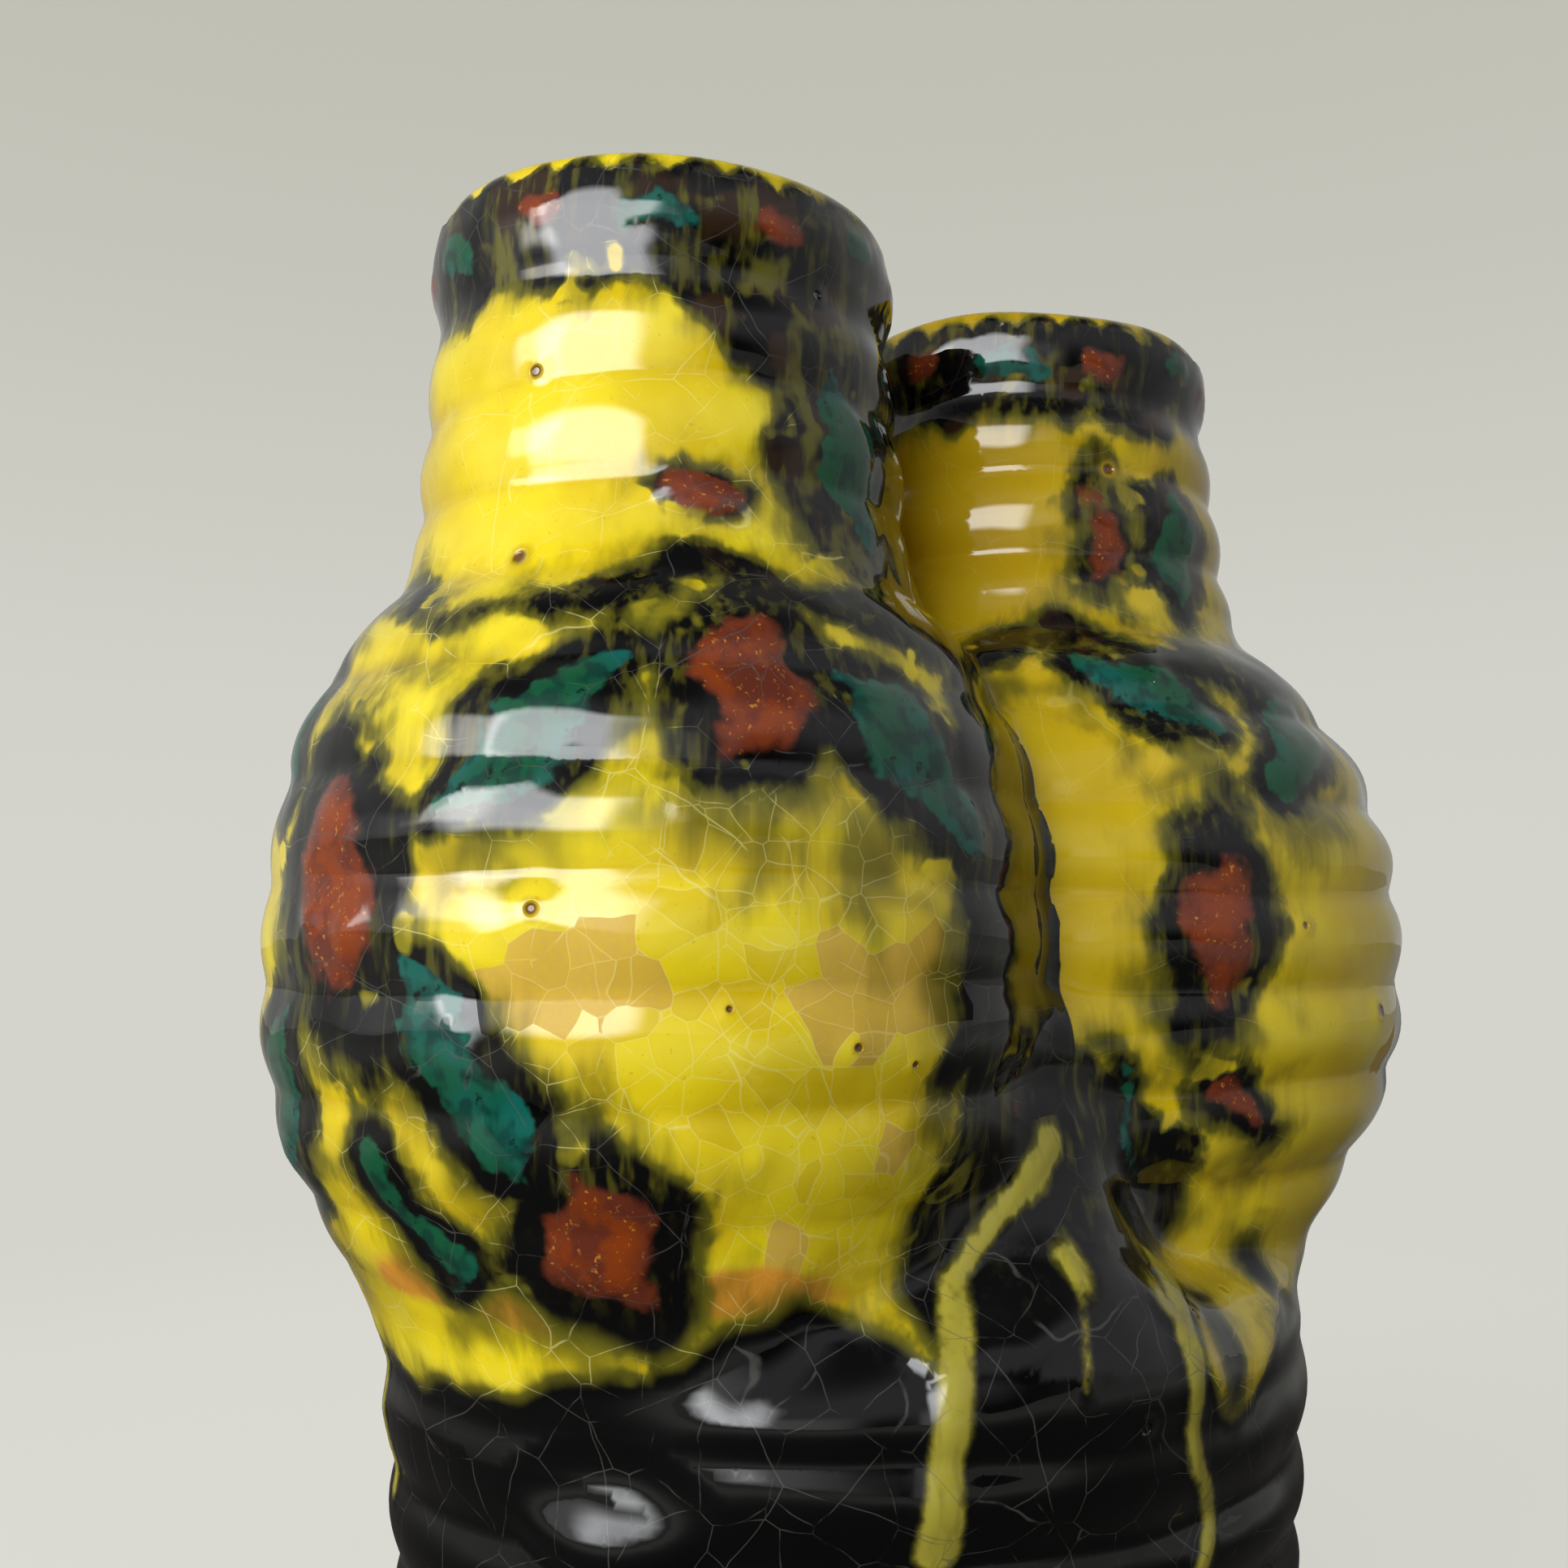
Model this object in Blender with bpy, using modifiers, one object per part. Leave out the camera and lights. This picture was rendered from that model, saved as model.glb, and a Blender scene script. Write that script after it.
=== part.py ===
"""A ceramic vase of two thrown bottles that stand side by side on one oval drum.

Units are metres, +Z is up. The origin is the middle of the flat underside. +X runs from the
left bottle's axis to the right bottle's axis. Each thrown or rolled section of clay is one
object, and a thin seam of slip parts it from the sections that it is luted to.
"""

import math

import bmesh
import bpy
from mathutils import Vector

# Clay and joints
WALL = 0.005
SLIP_GAP = 0.0003

# Throwing ridges, which run round every section
RIDGE_PITCH = 0.0114
RIDGE_RELIEF = 0.0009
POINTS_PER_RIDGE = 4

# Drum
DRUM_DEPTH = 0.107
DRUM_TAPER = 0.0055
DRUM_WALL_HEIGHT = 0.0586
FLOOR_THICKNESS = 0.007
FLOOR_EDGE_RADIUS = 0.003
SHOULDER_THICKNESS = 0.006
SHOULDER_EDGE_RADIUS = 0.0035
THROAT_RADIUS = 0.022
WAIST_OVERHANG = 0.0042

# Heights of both bottles, each from the section below it
BELLY_RISE = 0.0415
BELLY_TO_NECK = 0.0430
NECK_HEIGHT = 0.0300
LEFT_LIP_HEIGHT = 0.0145
RIGHT_LIP_HEIGHT = 0.0122

# Left bottle, outer radii from the drum up
LEFT_WAIST = 0.0328
LEFT_BELLY = 0.0470
LEFT_NECK_FOOT = 0.0310
LEFT_NECK_TOP = 0.0287
LEFT_LIP = 0.0284

# Right bottle, outer radii from the drum up
RIGHT_WAIST = 0.0362
RIGHT_BELLY = 0.0514
RIGHT_NECK_FOOT = 0.0306
RIGHT_NECK_TOP = 0.0272
RIGHT_LIP = 0.0268

# Room between the feet of the two necks
NECK_SLIT = 0.0026

# Clay coil pressed into the crease between the bulbs, spreading to a web at the drum
COIL_RADIUS = 0.0055
WEB_RADIUS = 0.0200
WEB_RISE = 0.0260
WEB_FLARE = 1.6
WEB_INSET = 0.0010
COIL_POINTS = 15

# Shape of the bulb below and above its belly: the higher, the squarer
BOWL_POWER = 3.0
SHOULDER_POWER = 2.3

BOTTLE_STEPS = 40
DRUM_STEPS = 48
ARC_POINTS = 3
MERGE = 0.00001

# Places worked out from the sizes above
AXIS_SPACING = LEFT_NECK_FOOT + RIGHT_NECK_FOOT + NECK_SLIT
LEFT_X = -AXIS_SPACING / 2
RIGHT_X = AXIS_SPACING / 2
CREASE_X = LEFT_X + (AXIS_SPACING ** 2 + LEFT_BELLY ** 2 - RIGHT_BELLY ** 2) / (2 * AXIS_SPACING)
DRUM_HALF_LENGTH = max(LEFT_WAIST - LEFT_X, RIGHT_WAIST + RIGHT_X) - WAIST_OVERHANG
DRUM_HALF_DEPTH = DRUM_DEPTH / 2
WALL_BOTTOM = FLOOR_THICKNESS + SLIP_GAP
WALL_TOP = WALL_BOTTOM + DRUM_WALL_HEIGHT
SHOULDER_BOTTOM = WALL_TOP + SLIP_GAP
SHOULDER_TOP = SHOULDER_BOTTOM + SHOULDER_THICKNESS
BULB_BOTTOM = SHOULDER_TOP + SLIP_GAP
BELLY_Z = BULB_BOTTOM + BELLY_RISE
BULB_TOP = BELLY_Z + BELLY_TO_NECK
NECK_BOTTOM = BULB_TOP + SLIP_GAP
NECK_TOP = NECK_BOTTOM + NECK_HEIGHT
LIP_BOTTOM = NECK_TOP + SLIP_GAP
REACH = 4 * (DRUM_HALF_LENGTH + DRUM_HALF_DEPTH + LIP_BOTTOM)

YELLOW_GLAZE = (0.80, 0.62, 0.03)
BLACK_GLAZE = (0.012, 0.011, 0.012)
SEAM_GLAZE = (0.045, 0.050, 0.030)
BARE_CLAY = (0.42, 0.20, 0.10)


def clear_scene():
    """Remove whatever the file holds before the vase is built."""
    for item in list(bpy.data.objects):
        bpy.data.objects.remove(item, do_unlink=True)


def new_collection(name):
    """A collection of this name, linked to the scene."""
    collection = bpy.data.collections.new(name)
    bpy.context.scene.collection.children.link(collection)
    return collection


def glaze(name, colour, roughness):
    """A plain glazed or bare clay finish."""
    material = bpy.data.materials.new(name)
    material.use_nodes = True
    shader = material.node_tree.nodes["Principled BSDF"]
    shader.inputs["Base Color"].default_value = (*colour, 1)
    shader.inputs["Roughness"].default_value = roughness
    shader.inputs["Metallic"].default_value = 0
    return material


def add_object(name, mesh, collection, x=0.0, material=None):
    """An object for this mesh, on the vertical axis at x."""
    item = bpy.data.objects.new(name, mesh)
    item.location.x = x
    collection.objects.link(item)
    if material:
        mesh.materials.append(material)
        mesh.shade_smooth()
    else:
        item.hide_render = True
        item.display_type = "WIRE"
    return item


def turned(name, profile, steps, collection, x=0.0, material=None, closed=True):
    """A turned section: the profile of (radius, height) points runs down the outside first."""
    count = len(profile)
    edges = [(i, i + 1) for i in range(count - 1)]
    if closed:
        edges.append((count - 1, 0))
    mesh = bpy.data.meshes.new(name)
    mesh.from_pydata([(radius, 0, z) for radius, z in profile], edges, [])
    item = add_object(name, mesh, collection, x, material)
    screw = item.modifiers.new("Turn", "SCREW")
    screw.axis = "Z"
    screw.angle = math.tau
    screw.steps = steps
    screw.render_steps = steps
    screw.use_merge_vertices = True
    screw.merge_threshold = MERGE
    screw.use_smooth_shade = True
    return item


def cut(item, cutter):
    """Take the cutter's volume out of the item."""
    boolean = item.modifiers.new("Cut by " + cutter.name, "BOOLEAN")
    boolean.operation = "DIFFERENCE"
    boolean.solver = "EXACT"
    boolean.object = cutter


def ridge(z, z_low, z_high):
    """The throwing ridges' height at z, fading out at a section's two ends."""
    fade = min(1.0, (z - z_low) / RIDGE_PITCH, (z_high - z) / RIDGE_PITCH)
    return RIDGE_RELIEF * max(fade, 0.0) * math.cos(math.tau * z / RIDGE_PITCH)


def heights(z_low, z_high):
    """Heights from top to bottom, a few to each throwing ridge."""
    count = max(POINTS_PER_RIDGE, round((z_high - z_low) / RIDGE_PITCH * POINTS_PER_RIDGE))
    return [z_high + (z_low - z_high) * i / count for i in range(count + 1)]


def bulb_radius(z, waist, belly, neck):
    """The bulb's radius at z, before its ridges: a deep bowl under a square shoulder."""
    if z < BELLY_Z:
        fall = min(1.0, (BELLY_Z - z) / BELLY_RISE)
        return waist + (belly - waist) * (1 - fall ** BOWL_POWER)
    rise = min(1.0, (z - BELLY_Z) / BELLY_TO_NECK)
    return neck + (belly - neck) * (1 - rise ** SHOULDER_POWER)


def bulb_outside(waist, belly, neck, spare=0.0):
    """The bulb's outer profile, top to bottom, swollen by the spare room."""
    profile = []
    for z in heights(BULB_BOTTOM, BULB_TOP):
        radius = bulb_radius(z, waist, belly, neck) + ridge(z, BULB_BOTTOM, BULB_TOP)
        profile.append((radius + spare, z))
    return profile


def bulb(side, x, waist, belly, neck, collection, material):
    """A bulb's shell, as thrown, open at its waist and at its neck."""
    profile = bulb_outside(waist, belly, neck)
    inner_count = len(profile) // 3
    for i in range(inner_count + 1):
        z = BULB_BOTTOM + (BULB_TOP - BULB_BOTTOM) * i / inner_count
        profile.append((bulb_radius(z, waist, belly, neck) - WALL, z))
    return turned(side + "_bulb", profile, BOTTLE_STEPS, collection, x, material)


def bulb_room(side, x, waist, belly, neck, collection):
    """The room that a bulb and its seam of slip take up, for the clay pressed against it."""
    profile = bulb_outside(waist, belly, neck, SLIP_GAP)
    profile.insert(0, (profile[0][0], BULB_TOP + COIL_RADIUS))
    profile.insert(0, (0.0, BULB_TOP + COIL_RADIUS))
    profile.append((profile[-1][0], BULB_BOTTOM - WEB_RADIUS))
    profile.append((0.0, BULB_BOTTOM - WEB_RADIUS))
    return turned(side + "_bulb_room", profile, BOTTLE_STEPS, collection, x, closed=False)


def neck(side, x, foot, top, collection, material):
    """A tall ridged neck that narrows upward."""
    profile = []
    for z in heights(NECK_BOTTOM, NECK_TOP):
        radius = foot + (top - foot) * (z - NECK_BOTTOM) / NECK_HEIGHT
        profile.append((radius + ridge(z, NECK_BOTTOM, NECK_TOP), z))
    profile.append((foot - WALL, NECK_BOTTOM))
    profile.append((top - WALL, NECK_TOP))
    return turned(side + "_neck", profile, BOTTLE_STEPS, collection, x, material)


def lip(side, x, radius, height, collection, material):
    """A rolled lip: a collar whose top edge is round and whose foot is nipped in."""
    bore = radius - WALL
    middle = radius - WALL / 2
    crown = LIP_BOTTOM + height - WALL / 2
    profile = []
    for i in range(2 * ARC_POINTS + 1):
        angle = math.pi - math.pi * i / (2 * ARC_POINTS)
        profile.append((middle + math.cos(angle) * WALL / 2, crown + math.sin(angle) * WALL / 2))
    profile.append((radius + RIDGE_RELIEF, LIP_BOTTOM + height / 2))
    profile.append((radius, LIP_BOTTOM + height / 4))
    profile.append((radius - RIDGE_RELIEF / 2, LIP_BOTTOM))
    profile.append((bore, LIP_BOTTOM))
    return turned(side + "_lip", profile, BOTTLE_STEPS, collection, x, material)


def oval(item, half_length):
    """Squeeze a turned drum section of this half length to the drum's oval."""
    item.scale.y = (half_length - (DRUM_HALF_LENGTH - DRUM_HALF_DEPTH)) / half_length
    return item


def drum_radius(z):
    """The drum's half length at z, which narrows towards the foot."""
    return DRUM_HALF_LENGTH - DRUM_TAPER * (1 - z / SHOULDER_TOP)


def edge_arc(radius, z, size, upper):
    """A quarter round on an outer edge: from the top face down, or from the side to the underside."""
    points = []
    for i in range(ARC_POINTS + 1):
        angle = math.pi / 2 * i / ARC_POINTS
        if upper:
            points.append((radius - size + size * math.sin(angle), z - size + size * math.cos(angle)))
        else:
            points.append((radius - size + size * math.cos(angle), z + size - size * math.sin(angle)))
    return points


def drum_floor(collection, material):
    """The slab that the drum stands on."""
    radius = drum_radius(0)
    profile = [(0.0, FLOOR_THICKNESS), (radius, FLOOR_THICKNESS)]
    profile += edge_arc(radius, 0.0, FLOOR_EDGE_RADIUS, upper=False)
    profile.append((0.0, 0.0))
    item = turned("drum_floor", profile, DRUM_STEPS, collection, material=material, closed=False)
    return oval(item, DRUM_HALF_LENGTH)


def drum_wall(collection, cutters, material):
    """The drum's ridged wall, a thrown ring pressed to an oval."""
    profile = [(0.0, WALL_TOP)]
    for z in heights(WALL_BOTTOM, WALL_TOP):
        profile.append((drum_radius(z) + ridge(z, WALL_BOTTOM, WALL_TOP), z))
    profile.append((0.0, WALL_BOTTOM))
    item = turned("drum_wall", profile, DRUM_STEPS, collection, material=material, closed=False)
    oval(item, DRUM_HALF_LENGTH)
    inside = drum_radius(0) - WALL
    bore = [(0.0, WALL_TOP + WALL), (inside, WALL_TOP + WALL), (inside, WALL_BOTTOM - WALL)]
    bore.append((0.0, WALL_BOTTOM - WALL))
    cutter = turned("drum_bore", bore, DRUM_STEPS, cutters, closed=False)
    cut(item, oval(cutter, inside))
    return item


def drum_shoulder(collection, cutters, material):
    """The slab that closes the drum, with a throat below each bottle."""
    radius = DRUM_HALF_LENGTH
    profile = [(0.0, SHOULDER_TOP)]
    profile += edge_arc(radius, SHOULDER_TOP, SHOULDER_EDGE_RADIUS, upper=True)
    profile += [(radius, SHOULDER_BOTTOM), (0.0, SHOULDER_BOTTOM)]
    item = turned("drum_shoulder", profile, DRUM_STEPS, collection, material=material, closed=False)
    oval(item, DRUM_HALF_LENGTH)
    throat = [(0.0, SHOULDER_TOP + WALL), (THROAT_RADIUS, SHOULDER_TOP + WALL)]
    throat += [(THROAT_RADIUS, SHOULDER_BOTTOM - WALL), (0.0, SHOULDER_BOTTOM - WALL)]
    for side, x in (("left", LEFT_X), ("right", RIGHT_X)):
        cut(item, turned(side + "_throat", throat, BOTTLE_STEPS, cutters, x, closed=False))
    return item


def block(name, low, high, collection):
    """A box between two corners, for cutting."""
    shape = bmesh.new()
    bmesh.ops.create_cube(shape, size=1.0)
    low = Vector(low)
    high = Vector(high)
    for vertex in shape.verts:
        for axis in range(3):
            vertex.co[axis] = (low[axis] + high[axis]) / 2 + vertex.co[axis] * (high[axis] - low[axis])
    mesh = bpy.data.meshes.new(name)
    shape.to_mesh(mesh)
    shape.free()
    return add_object(name, mesh, collection)


def crease_depth(z):
    """How far the crease between the bulbs lies from the vase's middle plane at z."""
    left = bulb_radius(z, LEFT_WAIST, LEFT_BELLY, LEFT_NECK_FOOT) ** 2 - (CREASE_X - LEFT_X) ** 2
    right = bulb_radius(z, RIGHT_WAIST, RIGHT_BELLY, RIGHT_NECK_FOOT) ** 2 - (RIGHT_X - CREASE_X) ** 2
    return math.sqrt(max(0.0, left, right))


def seam_path():
    """Points (depth, z, radius) of the coil in the crease, from the web up to the saddle."""
    low = SHOULDER_TOP - WEB_RADIUS / 2
    high = BULB_TOP - COIL_RADIUS
    web_depth = DRUM_HALF_DEPTH - WEB_RADIUS - WEB_INSET
    points = []
    for i in range(COIL_POINTS + 1):
        z = low + (high - low) * i / COIL_POINTS
        spread = max(0.0, 1 - max(0.0, z - SHOULDER_TOP) / WEB_RISE) ** WEB_FLARE
        depth = crease_depth(max(z, SHOULDER_TOP + WEB_RISE / 2))
        radius = COIL_RADIUS + (WEB_RADIUS - COIL_RADIUS) * spread
        points.append((depth + (web_depth - depth) * spread, z, radius))
    return points


def seam(name, direction, collection, rooms, floor_cutter, material):
    """The clay pressed into the crease on one side of the vase."""
    curve = bpy.data.curves.new(name, "CURVE")
    curve.dimensions = "3D"
    curve.bevel_depth = 1.0
    curve.bevel_resolution = 3
    curve.use_fill_caps = True
    path = seam_path()
    spline = curve.splines.new("POLY")
    spline.points.add(len(path) - 1)
    for point, (depth, z, radius) in zip(spline.points, path):
        point.co = (CREASE_X, direction * depth, z, 1)
        point.radius = radius
    rope = bpy.data.objects.new(name + "_rope", curve)
    collection.objects.link(rope)
    evaluated = rope.evaluated_get(bpy.context.evaluated_depsgraph_get())
    mesh = bpy.data.meshes.new_from_object(evaluated)
    matrix = rope.matrix_world.copy()
    bpy.data.objects.remove(rope, do_unlink=True)
    shape = bmesh.new()
    shape.from_mesh(mesh)
    bmesh.ops.remove_doubles(shape, verts=shape.verts, dist=MERGE)
    bmesh.ops.recalc_face_normals(shape, faces=shape.faces)
    shape.to_mesh(mesh)
    shape.free()
    mesh.name = name
    item = add_object(name, mesh, collection, material=material)
    item.matrix_world = matrix
    for cutter in (*rooms, floor_cutter):
        cut(item, cutter)
    return item


def build():
    """Make every section of the vase, from the foot up."""
    clear_scene()
    vase = new_collection("twin_bottle_vase")
    cutters = new_collection("cutters")
    yellow = glaze("yellow glaze", YELLOW_GLAZE, 0.12)
    black = glaze("black glaze", BLACK_GLAZE, 0.10)
    seam_finish = glaze("pooled glaze", SEAM_GLAZE, 0.10)
    clay = glaze("bare clay", BARE_CLAY, 0.85)

    drum_floor(vase, clay)
    drum_wall(vase, cutters, black)
    drum_shoulder(vase, cutters, black)

    left_radii = (LEFT_WAIST, LEFT_BELLY, LEFT_NECK_FOOT)
    right_radii = (RIGHT_WAIST, RIGHT_BELLY, RIGHT_NECK_FOOT)
    left_face = CREASE_X - SLIP_GAP / 2
    right_face = CREASE_X + SLIP_GAP / 2
    far = (REACH, REACH, REACH)
    near = (-REACH, -REACH, -REACH)
    beyond_left = block("beyond_left", (left_face, -REACH, -REACH), far, cutters)
    beyond_right = block("beyond_right", near, (right_face, REACH, REACH), cutters)
    cut(bulb("left", LEFT_X, *left_radii, vase, yellow), beyond_left)
    cut(bulb("right", RIGHT_X, *right_radii, vase, yellow), beyond_right)

    neck("left", LEFT_X, LEFT_NECK_FOOT, LEFT_NECK_TOP, vase, yellow)
    neck("right", RIGHT_X, RIGHT_NECK_FOOT, RIGHT_NECK_TOP, vase, yellow)
    lip("left", LEFT_X, LEFT_LIP, LEFT_LIP_HEIGHT, vase, black)
    lip("right", RIGHT_X, RIGHT_LIP, RIGHT_LIP_HEIGHT, vase, black)

    rooms = (
        bulb_room("left", LEFT_X, *left_radii, cutters),
        bulb_room("right", RIGHT_X, *right_radii, cutters),
    )
    below = block("below_seams", near, (REACH, REACH, BULB_BOTTOM), cutters)
    bpy.context.view_layer.update()
    seam("front_seam", -1, vase, rooms, below, seam_finish)
    seam("back_seam", 1, vase, rooms, below, seam_finish)


build()
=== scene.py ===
import math

import bpy
import numpy as np
from mathutils import Euler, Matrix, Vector


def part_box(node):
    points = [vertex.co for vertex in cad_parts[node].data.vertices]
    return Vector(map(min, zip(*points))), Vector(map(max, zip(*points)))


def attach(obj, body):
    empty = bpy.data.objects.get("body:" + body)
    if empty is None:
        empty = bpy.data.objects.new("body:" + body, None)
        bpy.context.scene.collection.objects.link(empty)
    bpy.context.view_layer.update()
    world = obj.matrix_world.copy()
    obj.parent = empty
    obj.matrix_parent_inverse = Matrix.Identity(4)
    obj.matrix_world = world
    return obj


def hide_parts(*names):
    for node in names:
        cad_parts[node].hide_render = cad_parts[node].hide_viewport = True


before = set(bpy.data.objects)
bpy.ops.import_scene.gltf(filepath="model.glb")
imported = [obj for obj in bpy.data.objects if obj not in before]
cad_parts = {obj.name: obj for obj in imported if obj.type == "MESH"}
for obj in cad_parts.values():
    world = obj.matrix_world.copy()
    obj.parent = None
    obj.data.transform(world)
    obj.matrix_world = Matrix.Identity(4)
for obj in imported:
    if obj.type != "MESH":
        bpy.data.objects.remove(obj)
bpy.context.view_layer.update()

MM = 0.001


def node_box(name):
    """A CAD node's lowest and highest corner, in millimetres."""
    low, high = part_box(name)
    return np.array(low) / MM, np.array(high) / MM


class Bottle:
    """One thrown bottle: its axis, its sizes in millimetres and how its ridges lie."""

    def __init__(self, side, waist, ridge, ridge_shift, rim_slope, collar_drop):
        lip_low, lip_high = node_box(side + "_lip")
        neck_low, neck_high = node_box(side + "_neck")
        bulb_low, bulb_high = node_box(side + "_bulb")
        self.side = side
        self.x = (lip_low[0] + lip_high[0]) / 2
        self.waist = waist
        self.belly = (bulb_high[1] - bulb_low[1]) / 2 - RIDGE / 2
        self.foot = (neck_high[0] - neck_low[0]) / 2
        self.neck_top = self.foot - NECK_DRAW[side]
        self.lip = (lip_high[0] - lip_low[0]) / 2 - RIDGE
        self.bulb_z = (bulb_low[2], bulb_high[2])
        self.neck_z = (neck_low[2], neck_high[2])
        self.top = lip_high[2]
        self.ridge = ridge
        self.ridge_shift = ridge_shift
        self.rim_slope = rim_slope
        self.collar_drop = collar_drop


# Sizes of the thrown form, in millimetres, with the powers of its curves
WALL = 5.0
RIDGE = 0.78
DRUM_RIDGE = 0.75
RIDGE_PITCH = 11.4
NECK_DRAW = {"left": 2.3, "right": 3.4}
BELLY_RISE = 41.5
BOWL_POWER = 2.6
SHOULDER_POWER = 2.3
THROAT = 22.0
DRUM_TAPER = 5.5
CREASE_FILLET = 4.0
SLIT_FILLET = 2.5
WEB_FILLET = 9.0
DRUM_FILLET = 12.0
SHOULDER_ROUND = 12.0
FOOT_ROUND = 5.0
NECK_FILLET = 2.5
HOLLOW_ROUND = 3.0
LIP_SWELL = 0.8
LIP_GROOVE = 0.5
VOXEL = 1.0
SEAM_SWELL = 0.45
SEAT_RISE = 2.0
EDGE_BEAD = 0.26
EDGE_COAT = 0.22
RUN_RISE = 0.42
ENAMEL_RISE = 0.30
BLACK_RISE = 0.14
# How soft the grooves between the finger ridges are, and what sets the drum's own unevenness
GROOVE = 0.035
DRUM_GROOVE = 0.10
DRUM_SEED = 5.0
# How far the thrown rims, bottles and drum wander from true
RIM_DRIFT = 0.5
BOTTLE_DRIFT = 0.35
DRUM_DRIFT = 0.4
# Heights over which the crease becomes the slit between the necks
SLIT_RISE = (138, 158)
# A face turned further than this from the form's own normal, as a cosine, is a cut
CUT_COSINE = 0.6

# Camera, placed as the photograph was taken, in millimetres and degrees
CAMERA_PLACE = (-138.7, -166.9, 115.0)
CAMERA_TURN = -37.0
CAMERA_PITCH = 5.14
CAMERA_LENS = 36.06
CAMERA_RIGHT = (math.cos(math.radians(CAMERA_TURN)), math.sin(math.radians(CAMERA_TURN)))

# Where the yellow glaze ends on the drum: degrees round the oval and height
BORDER = (
    (-180, 65.0), (-160, 66.5), (-150, 69.5), (-142, 71.0), (-136, 74.5), (-131, 76.5), (-125, 73.0), (-118, 70.5),
    (-108, 70.0), (-98, 74.0), (-92, 73.5), (-88, 69.0), (-84, 62.0), (-80, 59.5), (-76, 59.5), (-72, 64.0),
    (-66, 67.0), (-58, 68.0), (-40, 68.0), (-15, 66.0),
    (10, 69.5), (35, 64.0), (60, 69.0), (85, 74.0), (100, 71.0), (120, 65.5), (145, 70.0), (165, 67.0),
)
# Where the black pool in the crease begins on each bottle: height and place along X
POOL_LEFT = (
    (72, -27), (80, -26), (90, -25), (98, -23), (106, -22), (116, -25), (127, -25), (136, -23), (146, -17), (162, -5),
)
POOL_RIGHT = (
    (69, 3), (73, 6), (77, 13), (80, 16), (85, 16), (90, 13), (95, 6), (100, 0), (106, -14), (150, -14),
)
# Gaps in the yellow where the black shows through: degrees round the oval, height, half width, half height
WINDOWS = ((-80.5, 67.8, 2.0, 5.2), (-61, 72.4, 1.8, 2.6), (20, 76, 2.2, 3.4))
# Where a thumb flattened the drum's ridges: degrees round the oval, height, half width, half height, lean
THUMB_DENT = (-151.0, 56.0, 9.0, 5.0, 0.32)
# Runs and drops of yellow glaze on the drum: half width, flare, then heights and degrees round the oval from the top
RUNS = (
    (2.3, 0.0, ((91, -99), (85, -105), (78, -113), (70, -115.5), (61, -117), (53, -117))),
    (1.7, 0.6, ((76, -85), (71, -88), (65, -88.5), (57, -88.5), (50, -83.5), (41, -88))),
    (1.4, 0.0, ((79.2, -100), (77.2, -100))), (0.6, 0.0, ((77, -100), (68, -103))),
    (1.4, 0.0, ((75.5, -89.5), (73.6, -89))), (1.5, 0.9, ((74, 166), (50, 166))), (2.0, 0.9, ((70, -20), (52, -20))),
    (2.3, 0.9, ((70, 28), (41, 29))), (1.7, 0.9, ((72, 72), (55, 71))), (2.2, 0.9, ((72, 112), (46, 113))),
)
# Blisters in the glaze: bottle, degrees round it from the viewer, height, radius, rise, radius of the burst hole
BLISTERS = (
    ("left", -15, 116.6, 3.4, 0.55, 0.8), ("left", -50, 115.5, 2.4, 0.5, 0), ("left", -42, 114.5, 2.3, 0.5, 0),
    ("left", -28, 154.7, 2.2, 0.4, 1.05), ("left", 24, 103.0, 2.6, 0.35, 0.5), ("left", 3, 126.0, 2.4, 0.3, 0),
    ("left", -29, 176.6, 1.8, 0.35, 0.8), ("left", 12, 92.0, 2.2, 0.3, 0), ("left", 110, 120.0, 3.0, 0.45, 0.9),
    ("left", 150, 104.0, 2.6, 0.45, 0), ("right", 26, 176.8, 2.2, 0.4, 0.8), ("right", 24, 148.7, 2.6, 0.4, 0),
    ("right", -8, 96.0, 2.4, 0.35, 0), ("right", 60, 104.0, 2.8, 0.4, 0.9), ("right", 120, 122.0, 3.0, 0.45, 0),
    ("left", 33, 101.0, 1.2, 0.15, 0.35), ("left", 8, 107.0, 1.2, 0.15, 0.35), ("right", 150, 100.0, 2.2, 0.4, 0.9),
)
# Patches where plates of the glaze have flaked: bottle, degrees round it from the viewer, height, half width
FLAKES = (
    ("left", -12, 110.6, 9.5), ("left", 28, 109.4, 9.5), ("left", 36, 94.0, 4.5), ("left", -15, 97.0, 3.5),
    ("left", 20, 84.0, 3.5), ("left", 128, 112.0, 8.0), ("left", -110, 92.0, 7.0), ("right", 70, 100.0, 6.0),
    ("right", 125, 108.0, 9.0), ("right", 170, 96.0, 7.0),
)

# Heights where each manner of glazing ends, the olive wash with its painted shade too, in millimetres
POOL_TOP = 160
WASH_AND_SHADE_TOP = 150
RUN_TOP = 94
RUN_FADE = (88, 96)
DRUM_GLAZE_TOP = 80
BARE_FOOT = (0.5, 2.2)
# The orange blush and the most crackled spot on the left bottle: degrees round it and height
BLUSH_TURN, BLUSH_Z = -12, 77.5
CRAZED_TURN, CRAZED_Z = 10, 102
# The gap to a glaze that isn't near, and to any glaze on the inside, which begins this deep
FAR = 40.0
INSIDE_GAP = 30.0
INSIDE_DEPTH = 1.8

# Dabs of the brush round each collar
COLLAR_DABS = 13
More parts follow.
